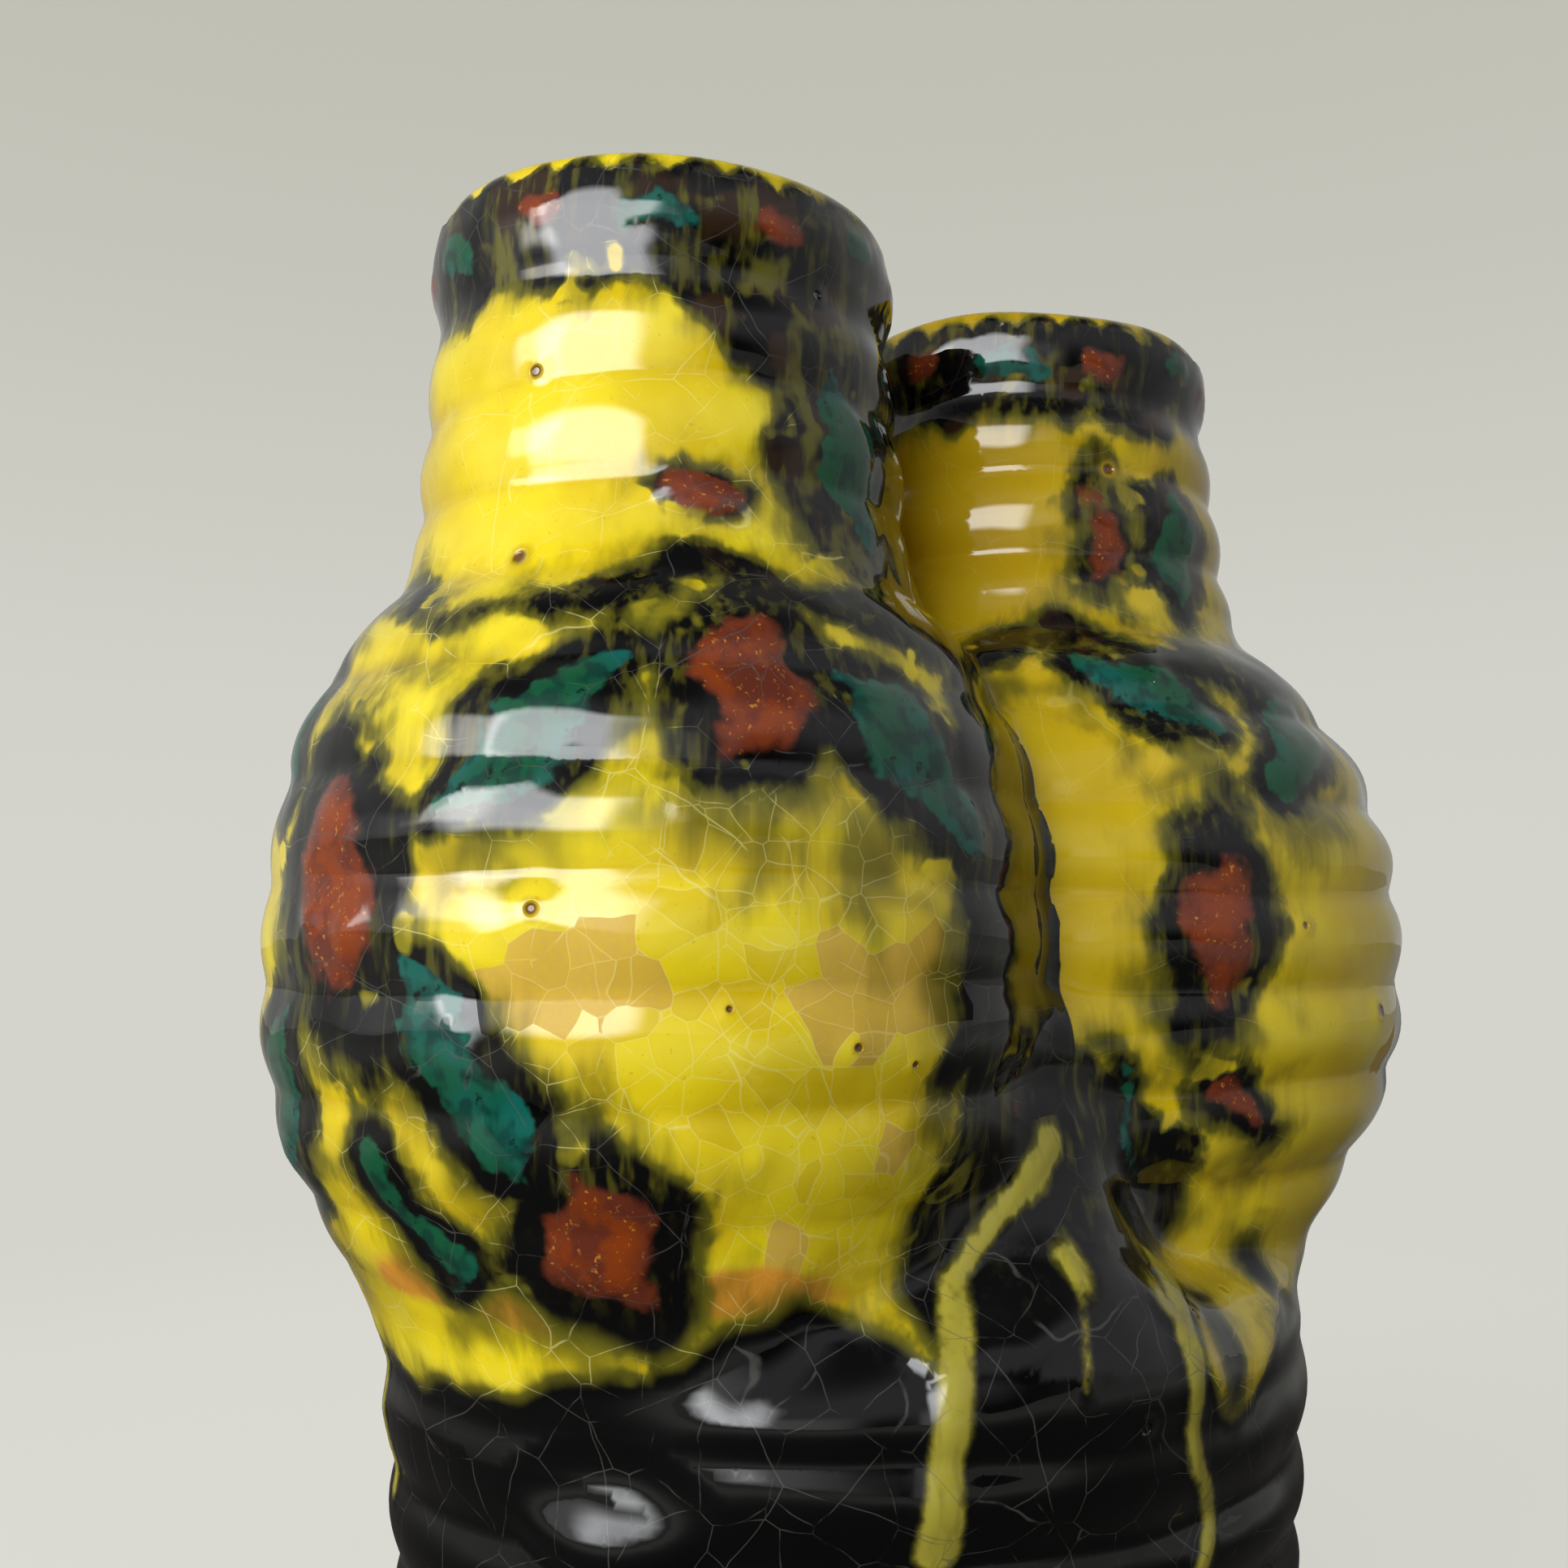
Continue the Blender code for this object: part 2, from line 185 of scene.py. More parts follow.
# Brushed motifs: kind, degrees round the bottle, height, half width, half height, lean, colour, black edge
MOTIFS = {
    "left": (
        ("lozenge", -46, 119, 7.0, 12.0, 14, "rust", 3.8),
        ("leaf", -17, 134, 4.6, 12.0, -48, "teal", 2.6),
        ("leaf", -25, 101, 4.2, 13.0, 34, "teal", 2.2),
        ("lozenge", 12, 139, 6.4, 8.0, -12, "rust", 3.0),
        ("leaf", 36, 132, 5.2, 13.0, 40, "teal", 3.0),
        ("dab", 57, 97, 0.5, 5.0, 4, "rust", 1.6),
        ("leaf", 46, 110, 3.0, 12.0, -24, "black", 1.0),
        ("lozenge", -8, 84, 6.0, 7.5, 24, "rust", 3.2),
        ("leaf", -62, 97, 4.0, 12.0, -22, "teal", 3.6),
        ("leaf", -72, 138, 4.0, 11.0, 30, "teal", 3.2),
        ("dab", -36, 86, 1.4, 7.0, 32, "teal", 2.0),
        ("leaf", 44, 168, 5.0, 11.0, 10, "teal", 5.6),
        ("lozenge", 6, 162, 5.6, 2.8, 8, "rust", 0.4),
        ("dab", 68, 166, 2.4, 9.0, -14, "black", 2.6),
        ("lozenge", 98, 118, 7.0, 12.0, 8, "rust", 3.4),
        ("leaf", 124, 132, 4.6, 12.0, 44, "teal", 2.8),
        ("leaf", 126, 101, 4.2, 12.0, -36, "teal", 2.4),
        ("lozenge", 152, 117, 7.0, 11.0, -10, "rust", 3.4),
        ("leaf", 178, 132, 4.6, 12.0, -44, "teal", 2.8),
        ("leaf", -178, 100, 4.2, 12.0, 34, "teal", 2.4),
        ("lozenge", -130, 118, 7.0, 12.0, 12, "rust", 3.4),
        ("leaf", -98, 131, 4.6, 12.0, 40, "teal", 2.8),
        ("leaf", -100, 100, 4.2, 12.0, -30, "teal", 2.4),
        ("leaf", 130, 170, 5.0, 11.0, -10, "teal", 3.5),
        ("lozenge", -120, 168, 3.6, 6.0, 6, "rust", 2.4),
    ),
    "right": (
        ("lozenge", 26, 115, 5.2, 10.0, -6, "rust", 2.6),
        ("leaf", 22, 144, 4.0, 10.0, 62, "teal", 1.8),
        ("leaf", 48, 138, 4.6, 11.0, -50, "teal", 2.0),
        ("dab", 30, 94, 1.6, 3.0, 60, "rust", 1.8),
        ("dab", 13, 93, 0.5, 7.0, 6, "teal", 1.0),
        ("lozenge", 22, 168, 3.0, 7.5, 6, "rust", 0.6),
        ("leaf", 46, 167, 4.2, 8.5, -8, "teal", 2.4),
        ("leaf", 84, 134, 4.6, 12.0, 44, "teal", 2.8),
        ("leaf", 84, 101, 4.2, 12.0, -36, "teal", 2.4),
        ("lozenge", 108, 117, 7.0, 11.0, -10, "rust", 3.4),
        ("leaf", 134, 134, 4.6, 12.0, -44, "teal", 2.8),
        ("leaf", 136, 100, 4.2, 12.0, 34, "teal", 2.4),
        ("lozenge", 162, 118, 7.0, 12.0, 12, "rust", 3.4),
        ("leaf", -172, 134, 4.6, 12.0, 44, "teal", 2.8),
        ("leaf", 120, 170, 5.0, 11.0, -10, "teal", 3.5),
        ("lozenge", 176, 168, 3.6, 6.0, 6, "rust", 2.4),
    ),
}

LEFT = Bottle("left", 32.8, 0.52, -0.4, 0.040, 9.0)
RIGHT = Bottle("right", 36.2, 0.78, -0.6, 0.010, -2.0)
FLOOR_LOW = node_box("drum_floor")[0]
WALL_LOW, WALL_HIGH = node_box("drum_wall")
SLAB_LOW, SLAB_HIGH = node_box("drum_shoulder")
DRUM_HALF = (SLAB_HIGH - SLAB_LOW) / 2
BELLY_Z = LEFT.bulb_z[0] + BELLY_RISE
CREASE_X = (node_box("left_bulb")[1][0] + node_box("right_bulb")[0][0]) / 2
WEB_TOP = (CREASE_X, 34.0, 100.0, 5.0)
WEB_FOOT = (CREASE_X - 2.0, 30.5, 71.0, 20.5)


def ease(value, low, high):
    """A smooth step from 0 at low to 1 at high."""
    t = np.clip((value - low) / (high - low), 0, 1)
    return t * t * (3 - 2 * t)


def soft_min(a, b, k):
    """The lesser of two fields, rounded over a width k where they meet."""
    h = np.clip(0.5 + 0.5 * (b - a) / k, 0, 1)
    return b + (a - b) * h - k * h * (1 - h)


def soft_max(a, b, k):
    """The greater of two fields, rounded over a width k where they meet."""
    return -soft_min(-a, -b, k)


def wander(angle, z, turns, seed):
    """A slow unevenness of hand throwing, between about -1 and 1."""
    total = 0.0
    for n in range(1, 4):
        total = total + np.sin(turns * n * angle + 0.05 * n * z + seed * (n + 1.7) * 2.3) / n
    return total / 1.8


def ridges(angle, z, shift, seed, groove=GROOVE):
    """Finger ridges: broad rounds up the wall with narrow grooves between, uneven round it."""
    phase = (z - shift + 1.3 * wander(angle, z, 1, seed)) / RIDGE_PITCH * math.pi
    depth = 1.0 + 0.28 * wander(angle, z * 1.7, 2, seed + 3)
    return depth * (2 * np.sqrt(np.cos(phase) ** 2 + groove) - 1.2)


def bottle_radius(z, bottle):
    """A bottle's radius at z, before its ridges."""
    fall = np.clip((BELLY_Z - z) / BELLY_RISE, 0, 1.2)
    bowl = bottle.waist + (bottle.belly - bottle.waist) * (1 - fall ** BOWL_POWER)
    rise = np.clip((z - BELLY_Z) / (bottle.bulb_z[1] - BELLY_Z), 0, 1.25)
    shoulder = bottle.foot + (bottle.belly - bottle.foot) * (1 - rise ** SHOULDER_POWER)
    bulb = np.where(z < BELLY_Z, bowl, shoulder)
    up = np.clip((z - bottle.neck_z[0]) / (bottle.neck_z[1] - bottle.neck_z[0]), -1, 1)
    neck = bottle.foot + (bottle.neck_top - bottle.foot) * up
    neck = neck + (bottle.lip - bottle.neck_top) * ease(z, bottle.neck_z[1] - 4, bottle.neck_z[1] + 6)
    return np.where(z > BELLY_Z, soft_max(bulb, neck, NECK_FILLET), bulb)


def bottle_fields(x, y, z, bottle):
    """The bottle as a solid, and the hollow inside it: both below zero inside."""
    across = (x - bottle.x) * CAMERA_RIGHT[0] + y * CAMERA_RIGHT[1]
    angle = np.arctan2(y, x - bottle.x)
    tilt = ease(z, bottle.neck_z[0], bottle.top)
    z = z + tilt * (bottle.rim_slope * across + RIM_DRIFT * wander(angle, 0, 2, bottle.x))
    reach = np.hypot(x - bottle.x, y)
    smooth = bottle_radius(z, bottle)
    lip_low = bottle.neck_z[1]
    fade = ease(z, bottle.bulb_z[0] - 2, bottle.bulb_z[0] + 8) * (1 - ease(z, lip_low - 4, lip_low + 1))
    outside = smooth + fade * bottle.ridge * ridges(angle, z, bottle.ridge_shift, bottle.x)
    outside = outside + BOTTLE_DRIFT * wander(angle, z, 1, bottle.x + 1)
    collar = np.exp(-((z - (lip_low + bottle.top) / 2 - 1) / 4.0) ** 2)
    groove = np.exp(-((z - lip_low - 1) / 2.2) ** 2)
    outside = outside + LIP_SWELL * collar - LIP_GROOVE * groove
    middle = bottle.lip - WALL / 2
    crown = bottle.top - WALL / 2
    ring = np.hypot(reach - middle, z - crown) - WALL / 2
    solid = np.where(z > crown, np.where(reach > middle, ring, z - bottle.top), reach - outside)
    solid = np.maximum(solid, bottle.bulb_z[0] - 5 - z)
    hollow = soft_max(reach - (smooth - WALL), bottle.bulb_z[0] - z, HOLLOW_ROUND)
    hollow = np.where(z > crown, np.where(reach < middle, -ring, reach - middle), hollow)
    throat = np.maximum(reach - THROAT, np.maximum(WALL_HIGH[2] - 3 - z, z - bottle.bulb_z[0] - 3))
    return solid, np.minimum(hollow, throat)


def oval_gap(x, y, half_length, half_depth):
    """The distance, nearly, from an oval of these half sizes."""
    q = np.hypot(x / half_length, y / half_depth) + 1e-6
    return (q - 1) * q / (np.hypot(x / half_length ** 2, y / half_depth ** 2) + 1e-9)


def drum_fields(x, y, z):
    """The oval drum as a solid, and the hollow inside it."""
    angle = np.arctan2(y / DRUM_HALF[1], x / DRUM_HALF[0])
    taper = DRUM_TAPER * (1 - np.clip(z, 0, None) / SLAB_HIGH[2])
    fade = ease(z, 2, 10) * (1 - ease(z, WALL_HIGH[2] - 8, SLAB_HIGH[2]))
    swell = fade * DRUM_RIDGE * ridges(angle, z, 0.0, DRUM_SEED, DRUM_GROOVE)
    dent_turn, dent_z, half_width, half_height, lean = THUMB_DENT
    away = (drum_along(np.degrees(angle), dent_turn) / half_width) ** 2 + ((z - dent_z) / half_height) ** 2
    swell = swell + (1 - ease(away, 0.2, 2.4)) * (lean * (dent_z - z) - swell)
    swell = swell + DRUM_DRIFT * wander(angle, z, 1, DRUM_SEED + 3) - taper
    side = oval_gap(x, y, DRUM_HALF[0], DRUM_HALF[1]) - swell
    solid = soft_max(side, z - SLAB_HIGH[2], SHOULDER_ROUND)
    solid = soft_max(solid, FLOOR_LOW[2] - z, FOOT_ROUND)
    inner = DRUM_HALF - DRUM_TAPER - WALL
    hollow = oval_gap(x, y, inner[0], inner[1])
    hollow = soft_max(hollow, np.maximum(z - WALL_HIGH[2], WALL_LOW[2] - z), HOLLOW_ROUND)
    return solid, hollow


def web_field(x, y, z, side):
    """The clay pressed into the crease on one side, thick at the drum and thin above."""
    ax, ay, az, ar = WEB_TOP
    bx, by, bz, br = WEB_FOOT
    dx, dy, dz = bx - ax, side * (by - ay), bz - az
    px, py, pz = x - ax, y - side * ay, z - az
    t = np.clip((px * dx + py * dy + pz * dz) / (dx * dx + dy * dy + dz * dz), 0, 1)
    away = np.sqrt((px - t * dx) ** 2 + (py - t * dy) ** 2 + (pz - t * dz) ** 2)
    return away - (ar + t * (br - ar))


def around(x, y, bottle):
    """Degrees round a bottle from the side nearest the viewer, rising to the viewer's right."""
    facing = math.atan2(CAMERA_PLACE[1], CAMERA_PLACE[0] - bottle.x)
    return np.degrees((np.arctan2(y, x - bottle.x) - facing + math.pi) % math.tau - math.pi)


def drum_turn(x, y):
    """Degrees round the oval drum from +X."""
    return np.degrees(np.arctan2(y / DRUM_HALF[1], x / DRUM_HALF[0]))


def drum_along(turn, place):
    """Millimetres round the drum's wall between two turns."""
    arc = np.radians(place)
    stretch = np.hypot(DRUM_HALF[0] * np.sin(arc), DRUM_HALF[1] * np.cos(arc))
    return np.radians((turn - place + 180) % 360 - 180) * stretch


def border_gap(x, y, z):
    """Height above the wavy edge where the yellow glaze ends on the drum."""
    turn = drum_turn(x, y)
    edge = np.interp(turn, [row[0] for row in BORDER], [row[1] for row in BORDER], period=360)
    return z - edge - 0.5 * np.sin(np.radians(turn) * 23 + 1.0) - 0.3 * np.sin(np.radians(turn) * 41)


def run_gap(x, y, z):
    """The distance, nearly, outside the runs and drops of yellow glaze on the drum's wall."""
    turn = drum_turn(x, y)
    gap = np.full(x.shape, FAR)
    for number, (half, flare, path) in enumerate(RUNS):
        heights, places = zip(*path[::-1])
        end, top = heights[0], heights[-1]
        along = drum_along(turn, np.interp(z, heights, places)) - 0.4 * np.sin(z * 0.22 + number * 2.1)
        half = half * (1 + 0.25 * np.exp(-((z - end - 1) / 3.5) ** 2) + flare * ease(z, top - 14, top))
        gap = np.minimum(gap, np.hypot(along, z - np.clip(z, end, top)) - half)
    return gap


def glaze_swell(x, y, z):
    """How far runs, the glaze's thick edge and blisters stand out from the clay."""
    swell = np.zeros(x.shape)
    low = z < RUN_FADE[1]
    ring = (x[low], y[low], z[low])
    edge = border_gap(*ring)
    bead = EDGE_BEAD * np.exp(-((edge - 2.2) / 2.4) ** 2)
    bead = bead + EDGE_COAT * ease(edge, -1.5, 2.0) * (1 - ease(edge, 2, 14))
    bead = np.maximum(bead, RUN_RISE * (1 - ease(run_gap(*ring), -2.2, 1.3)))
    swell[low] = bead * (1 - ease(ring[2], *RUN_FADE))
    for side, turn, height, radius, rise, hole in BLISTERS:
        bottle = LEFT if side == "left" else RIGHT
        near = np.flatnonzero(np.abs(z - height) < 2.5 * radius)
        reach = np.hypot(x[near] - bottle.x, y[near])
        along = np.radians((around(x[near], y[near], bottle) - turn + 180) % 360 - 180) * reach
        away = np.hypot(along, z[near] - height) / radius
        swell[near] += rise * np.exp(-1.6 * away ** 2)
    return swell


def skin_point(bottle, turn, height):
    """The place on the outer skin, in metres, at these degrees round a bottle and this height."""
    angle = math.atan2(CAMERA_PLACE[1], CAMERA_PLACE[0] - bottle.x) + math.radians(turn)
    reach = np.linspace(20, 62, 1700)
    ray = np.stack([bottle.x + reach * math.cos(angle), reach * math.sin(angle), np.full(reach.shape, height)], 1)
    return ray[np.flatnonzero(vessel_fields(ray)[0] < 0)[-1]] * MM


def vessel_fields(points):
    """The luted and glazed vase without its hollow, and the hollow."""
    x, y, z = points[:, 0], points[:, 1], points[:, 2]
    left, left_hollow = bottle_fields(x, y, z, LEFT)
    right, right_hollow = bottle_fields(x, y, z, RIGHT)
    drum, drum_hollow = drum_fields(x, y, z)
    fillet = CREASE_FILLET + (SLIT_FILLET - CREASE_FILLET) * ease(z, *SLIT_RISE)
    body = soft_min(left, right, fillet)
    body = soft_min(body, web_field(x, y, z, -1), WEB_FILLET)
    body = soft_min(body, web_field(x, y, z, 1), WEB_FILLET)
    body = soft_min(body, drum, DRUM_FILLET)
    skin = np.flatnonzero(body > -3)
    body[skin] -= glaze_swell(x[skin], y[skin], z[skin])
    hollow = np.minimum(np.minimum(left_hollow, right_hollow), drum_hollow)
    return body, hollow


def clay_field(points):
    """The whole vase as one field: below zero in clay or glaze."""
    body, hollow = vessel_fields(points)
    return np.maximum(body, -hollow)


def slope(points, base):
    """The field's gradient, by small steps."""
    step = 0.04
    parts = []
    for axis in range(3):
        moved = points.copy()
        moved[:, axis] += step
        parts.append((clay_field(moved) - base) / step)
    return np.stack(parts, 1)


def deselect():
    """Leave nothing selected."""
    bpy.ops.object.select_all(action="DESELECT")


def apply_modifier(item, kind, **settings):
    """Add a modifier, set it and apply it."""
    bpy.context.view_layer.objects.active = item
    modifier = item.modifiers.new(kind.title(), kind)
    for name, value in settings.items():
        setattr(modifier, name, value)
    bpy.ops.object.modifier_apply(modifier=modifier.name)


def luted_form():
    """All the CAD sections, swollen to close their seams and joined into one clay body."""
    copies = []
    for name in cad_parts:
        source = bpy.data.objects[name]
        copy = bpy.data.objects.new(name + "_copy", source.data.copy())
        bpy.context.scene.collection.objects.link(copy)
        copies.append(copy)
    deselect()
    for copy in copies:
        copy.select_set(True)
    bpy.context.view_layer.objects.active = copies[0]
    bpy.ops.object.mode_set(mode="EDIT")
    bpy.ops.mesh.select_all(action="SELECT")
    bpy.ops.mesh.remove_doubles(threshold=0.000001)
    bpy.ops.object.mode_set(mode="OBJECT")
    for copy in copies:
        apply_modifier(copy, "DISPLACE", strength=SEAM_SWELL * MM, mid_level=0.0)
    bpy.context.view_layer.objects.active = copies[0]
    bpy.ops.object.join()
    body = bpy.context.view_layer.objects.active
    body.name = "luted_form"
    apply_modifier(body, "REMESH", mode="VOXEL", voxel_size=VOXEL * MM)
    return body


def settle(body, turns):
    """Draw the joined clay onto the smooth thrown and glazed form in a few steps."""
    mesh = body.data
    flat = np.empty(len(mesh.vertices) * 3, np.float32)
    mesh.vertices.foreach_get("co", flat)
    points = flat.reshape(-1, 3).astype(np.float64) / MM
    for _ in range(turns):
        base = clay_field(points)
        grade = slope(points, base)
        size = np.maximum((grade ** 2).sum(1), 0.05)
        move = np.clip(base / size, -1.5, 1.5)
        points = points - move[:, None] * grade
    mesh.vertices.foreach_set("co", (points * MM).astype(np.float32).ravel())
    mesh.update()
    return points


def keep_normals(points, mesh):
    """Keep the form's true normals with its points."""
    grade = slope(points, clay_field(points))
    grade = grade / np.linalg.norm(grade, axis=1)[:, None]
    skin = mesh.attributes.new("skin", "FLOAT_VECTOR", "POINT")
    skin.data.foreach_set("vector", grade.astype(np.float32).ravel())


def thrown_form():
    """The clay body drawn onto its smooth form, meshed evenly, and its points in millimetres."""
    body = luted_form()
    settle(body, 4)
    apply_modifier(body, "REMESH", mode="VOXEL", voxel_size=VOXEL * MM)
    points = settle(body, 3)
    keep_normals(points, body.data)
    return body, points


def cut_piece(body, name, cuts):
    """A copy of the body kept on one side of each (point, normal) plane, closed where it is cut."""
    piece = bpy.data.objects.new(name, body.data.copy())
    bpy.context.scene.collection.objects.link(piece)
    deselect()
    piece.select_set(True)
    bpy.context.view_layer.objects.active = piece
    bpy.ops.object.mode_set(mode="EDIT")
    for place, normal in cuts:
        bpy.ops.mesh.select_all(action="SELECT")
        bpy.ops.mesh.bisect(
            plane_co=[v * MM for v in place], plane_no=normal, use_fill=True, clear_outer=True, threshold=1e-7
        )
    bpy.ops.object.mode_set(mode="OBJECT")
    mesh = piece.data
    mesh.name = name
    skin = np.empty(len(mesh.vertices) * 3, np.float32)
    mesh.attributes["skin"].data.foreach_get("vector", skin)
    skin = skin.reshape(-1, 3)
    skin = skin / np.maximum(np.linalg.norm(skin, axis=1), 1e-9)[:, None]
    loops = np.empty(len(mesh.loops), np.int32)
    mesh.loops.foreach_get("vertex_index", loops)
    counts = np.empty(len(mesh.polygons), np.int32)
    mesh.polygons.foreach_get("loop_total", counts)
    faces = np.empty(len(mesh.polygons) * 3, np.float32)
    mesh.polygons.foreach_get("normal", faces)
    faces = np.repeat(faces.reshape(-1, 3), counts, axis=0)
    normals = skin[loops]
    across = (normals * faces).sum(1) < CUT_COSINE
    normals[across] = faces[across]
    mesh.shade_smooth()
    mesh.normals_split_custom_set(normals)
    mesh.attributes.remove(mesh.attributes["skin"])
    return piece


def motif_gap(u, v, kind, half_width, half_height):
    """The distance, nearly, outside a lozenge, a leaf or a straight dab of the brush."""
    if kind == "lozenge":
        q = (np.abs(u / half_width) ** 1.4 + np.abs(v / half_height) ** 1.4) ** (1 / 1.4)
        return (q - 1) * half_width * 0.8
    if kind == "leaf":
        t = np.clip(v / half_height, -1, 1)
        edge = (np.abs(u) - half_width * (1 - t * t)) / np.sqrt(1 + (2 * half_width * t / half_height) ** 2)
        return np.where(np.abs(v) < half_height, edge, np.hypot(u, np.abs(v) - half_height))
    return np.hypot(u, np.maximum(np.abs(v) - half_height, 0)) - half_width


def paint_bottle(x, y, z, bottle):
    """Distances outside the black, rust and teal glazes brushed on one bottle."""
    turn = around(x, y, bottle)
    ring = np.radians(turn)
    reach = np.hypot(x - bottle.x, y)
    gaps = {colour: np.full(x.shape, FAR) for colour in ("black", "rust", "teal")}
    dabs = list(MOTIFS[bottle.side])
    for number in range(COLLAR_DABS):
        colour = ("teal", "rust")[number % 2]
        width = 3.4 + 1.2 * math.sin(number * 2.3)
        height = bottle.top - 7.5 + 1.5 * math.sin(number * 4.1)
        dabs.append(("dab", number * 360 / COLLAR_DABS - 168, height, 1.8, width - 1.5, 82, colour, 1.0))
    for kind, place, height, half_width, half_height, lean, colour, edge in dabs:
        along = np.radians((turn - place + 180) % 360 - 180) * reach
        rise = z - height + 0.8 * np.sin(along * 0.45 + place)
        along = along + 0.9 * np.sin(z * 0.5 + place)
        cos, sin = math.cos(math.radians(lean)), math.sin(math.radians(lean))
        gap = motif_gap(along * cos + rise * sin, rise * cos - along * sin, kind, half_width, half_height)
        gaps["black"] = np.minimum(gaps["black"], gap - edge)
        if colour != "black":
            gaps[colour] = np.minimum(gaps[colour], gap)
    wave = bottle.bulb_z[1] - 7 + 2.6 * np.sin(ring * 5 + 0.8) + 1.0 * np.sin(ring * 11)
    thick = 2.2 + 1.6 * np.sin(ring - 0.4) + 0.8 * np.sin(ring * 7 + 2)
    gaps["black"] = np.minimum(gaps["black"], np.abs(z - wave) - thick)
    across = (x - bottle.x) * CAMERA_RIGHT[0] + y * CAMERA_RIGHT[1]
    below = bottle.top - z - bottle.rim_slope * across
    lobes = 2.7 * np.abs(np.sin(ring * 14)) ** 0.55
    hang = 16.5 + 3.0 * wander(ring, 0, 3, 2.0) + 2.0 * wander(ring, 0, 11, 4.0)
    hang = hang + bottle.collar_drop * ease(turn, -6, 26) * (1 - ease(turn, 95, 130))
    collar = np.maximum(np.maximum(2.0 * (4.1 - lobes - below), below - hang), bottle.lip - WALL / 2 - reach)
    gaps["black"] = np.minimum(gaps["black"], collar)
    return gaps


def paint(points, mesh):
    """Write how the glazes lie on the vase, and where shade is painted, as one value a point, to be read by the
    glaze's shader.
    """
    x, y, z = points.T
    inside = vessel_fields(points)[0] < -INSIDE_DEPTH
    on_left = x < CREASE_X
    left, right = paint_bottle(x, y, z, LEFT), paint_bottle(x, y, z, RIGHT)
    layers = {colour: np.where(on_left, left[colour], right[colour]) for colour in left}
    edge_left = np.interp(z, *zip(*POOL_LEFT))
    edge_right = np.interp(z, *zip(*POOL_RIGHT))
    pool = np.where(on_left, edge_left - x, x - edge_right)
    layers["black"] = np.minimum(layers["black"], np.maximum(pool, z - POOL_TOP))
    layers["black"] = np.minimum(layers["black"], border_gap(x, y, z))
    for place, height, half_width, half_height in WINDOWS:
        away = np.hypot(drum_along(drum_turn(x, y), place) / half_width, (z - height) / half_height)
        layers["black"] = np.minimum(layers["black"], np.where(z < DRUM_GLAZE_TOP, (away - 1) * half_width, FAR))
    hung = np.where(on_left, paint_bottle(x, y, z + 5, LEFT)["black"], paint_bottle(x, y, z + 5, RIGHT)["black"])
    layers["wash_and_shade"] = np.minimum(layers["black"], np.where(z < WASH_AND_SHADE_TOP, hung + 1.0, FAR))
    # Partly olive wash, partly painted shade: the olive reaches further onto the left bottle's side by the crease,
    # which is turned from the lamps
    crease_wash_and_shade = np.where(on_left, pool - 9.5 * ease(z, 98, 106) * (1 - ease(z, 128, 140)), FAR)
    crease_wash_and_shade = crease_wash_and_shade - 5.0 * ease(z, 110, 117) * (1 - ease(z, 126, 136))
    layers["wash_and_shade"] = np.minimum(layers["wash_and_shade"], np.where(z < WASH_AND_SHADE_TOP, crease_wash_and_shade, FAR))
    for colour in layers:
        layers[colour] = np.where(inside, INSIDE_GAP, layers[colour])
    layers["run"] = np.where(inside | (z > RUN_TOP), INSIDE_GAP, run_gap(x, y, z))
    turn = around(x, y, LEFT)
    band = np.exp(-((z - BLUSH_Z - 1.2 * np.sin(np.radians(turn) * 7)) / 2.6) ** 2)
    layers["blush"] = band * (1 - ease(np.abs((turn - BLUSH_TURN + 180) % 360 - 180), 24, 52)) * ~inside
    layers["flake"] = 1 - ease(np.hypot(np.radians(turn - CRAZED_TURN) * 45, (z - CRAZED_Z) * 1.1), 12, 34)
    layers["relief"] = np.where(
        on_left, ridges(np.arctan2(y, x - LEFT.x), z, LEFT.ridge_shift, LEFT.x),
        ridges(np.arctan2(y, x - RIGHT.x), z, RIGHT.ridge_shift, RIGHT.x),
    )
    layers["craze"] = np.where(on_left | (z < 78), 1.0, 0.3)
    layers["bare"] = (1 - ease(z, *BARE_FOOT)) * ~inside
    # Partly the amber of a thicker glaze, partly painted shade: the right bottle darkens towards amber near the
    # crease and up its neck, where the front bottle shades it
    shade = 0.75 - 0.5 * ease(around(x, y, RIGHT), -5, 40) + 0.35 * ease(z, 145, 165)
    layers["deep"] = np.where(on_left | inside, 0.0, shade)
    for name, values in layers.items():
        layer = mesh.attributes.new(name, "FLOAT", "POINT")
        layer.data.foreach_set("value", values.astype(np.float32))
    enamel = np.minimum(layers["rust"], layers["teal"])
    lift = ENAMEL_RISE * (1 - ease(enamel, -1.8, 0.6))
    lift = lift + BLACK_RISE * (1 - ease(layers["black"], -2.5, 0.5)) * (z > DRUM_GLAZE_TOP)
    raise_skin(points, lift, mesh)


def vertex_normals(mesh):
    """The mesh's own smooth normals."""
    normals = np.empty(len(mesh.vertices) * 3, np.float32)
    mesh.vertex_normals.foreach_get("vector", normals)
    return normals.reshape(-1, 3)


def raise_skin(points, lift, mesh):
    """Thicken the glaze by lift millimetres and turn its kept normals with it."""
    flat = np.empty(len(points) * 3, np.float32)
    mesh.attributes["skin"].data.foreach_get("vector", flat)
    skin = flat.reshape(-1, 3)
    before = vertex_normals(mesh)
    raised = points + lift[:, None] * skin
    mesh.vertices.foreach_set("co", (raised * MM).astype(np.float32).ravel())
    mesh.update()
    skin = skin + vertex_normals(mesh) - before
    mesh.attributes["skin"].data.foreach_set("vector", skin.astype(np.float32).ravel())


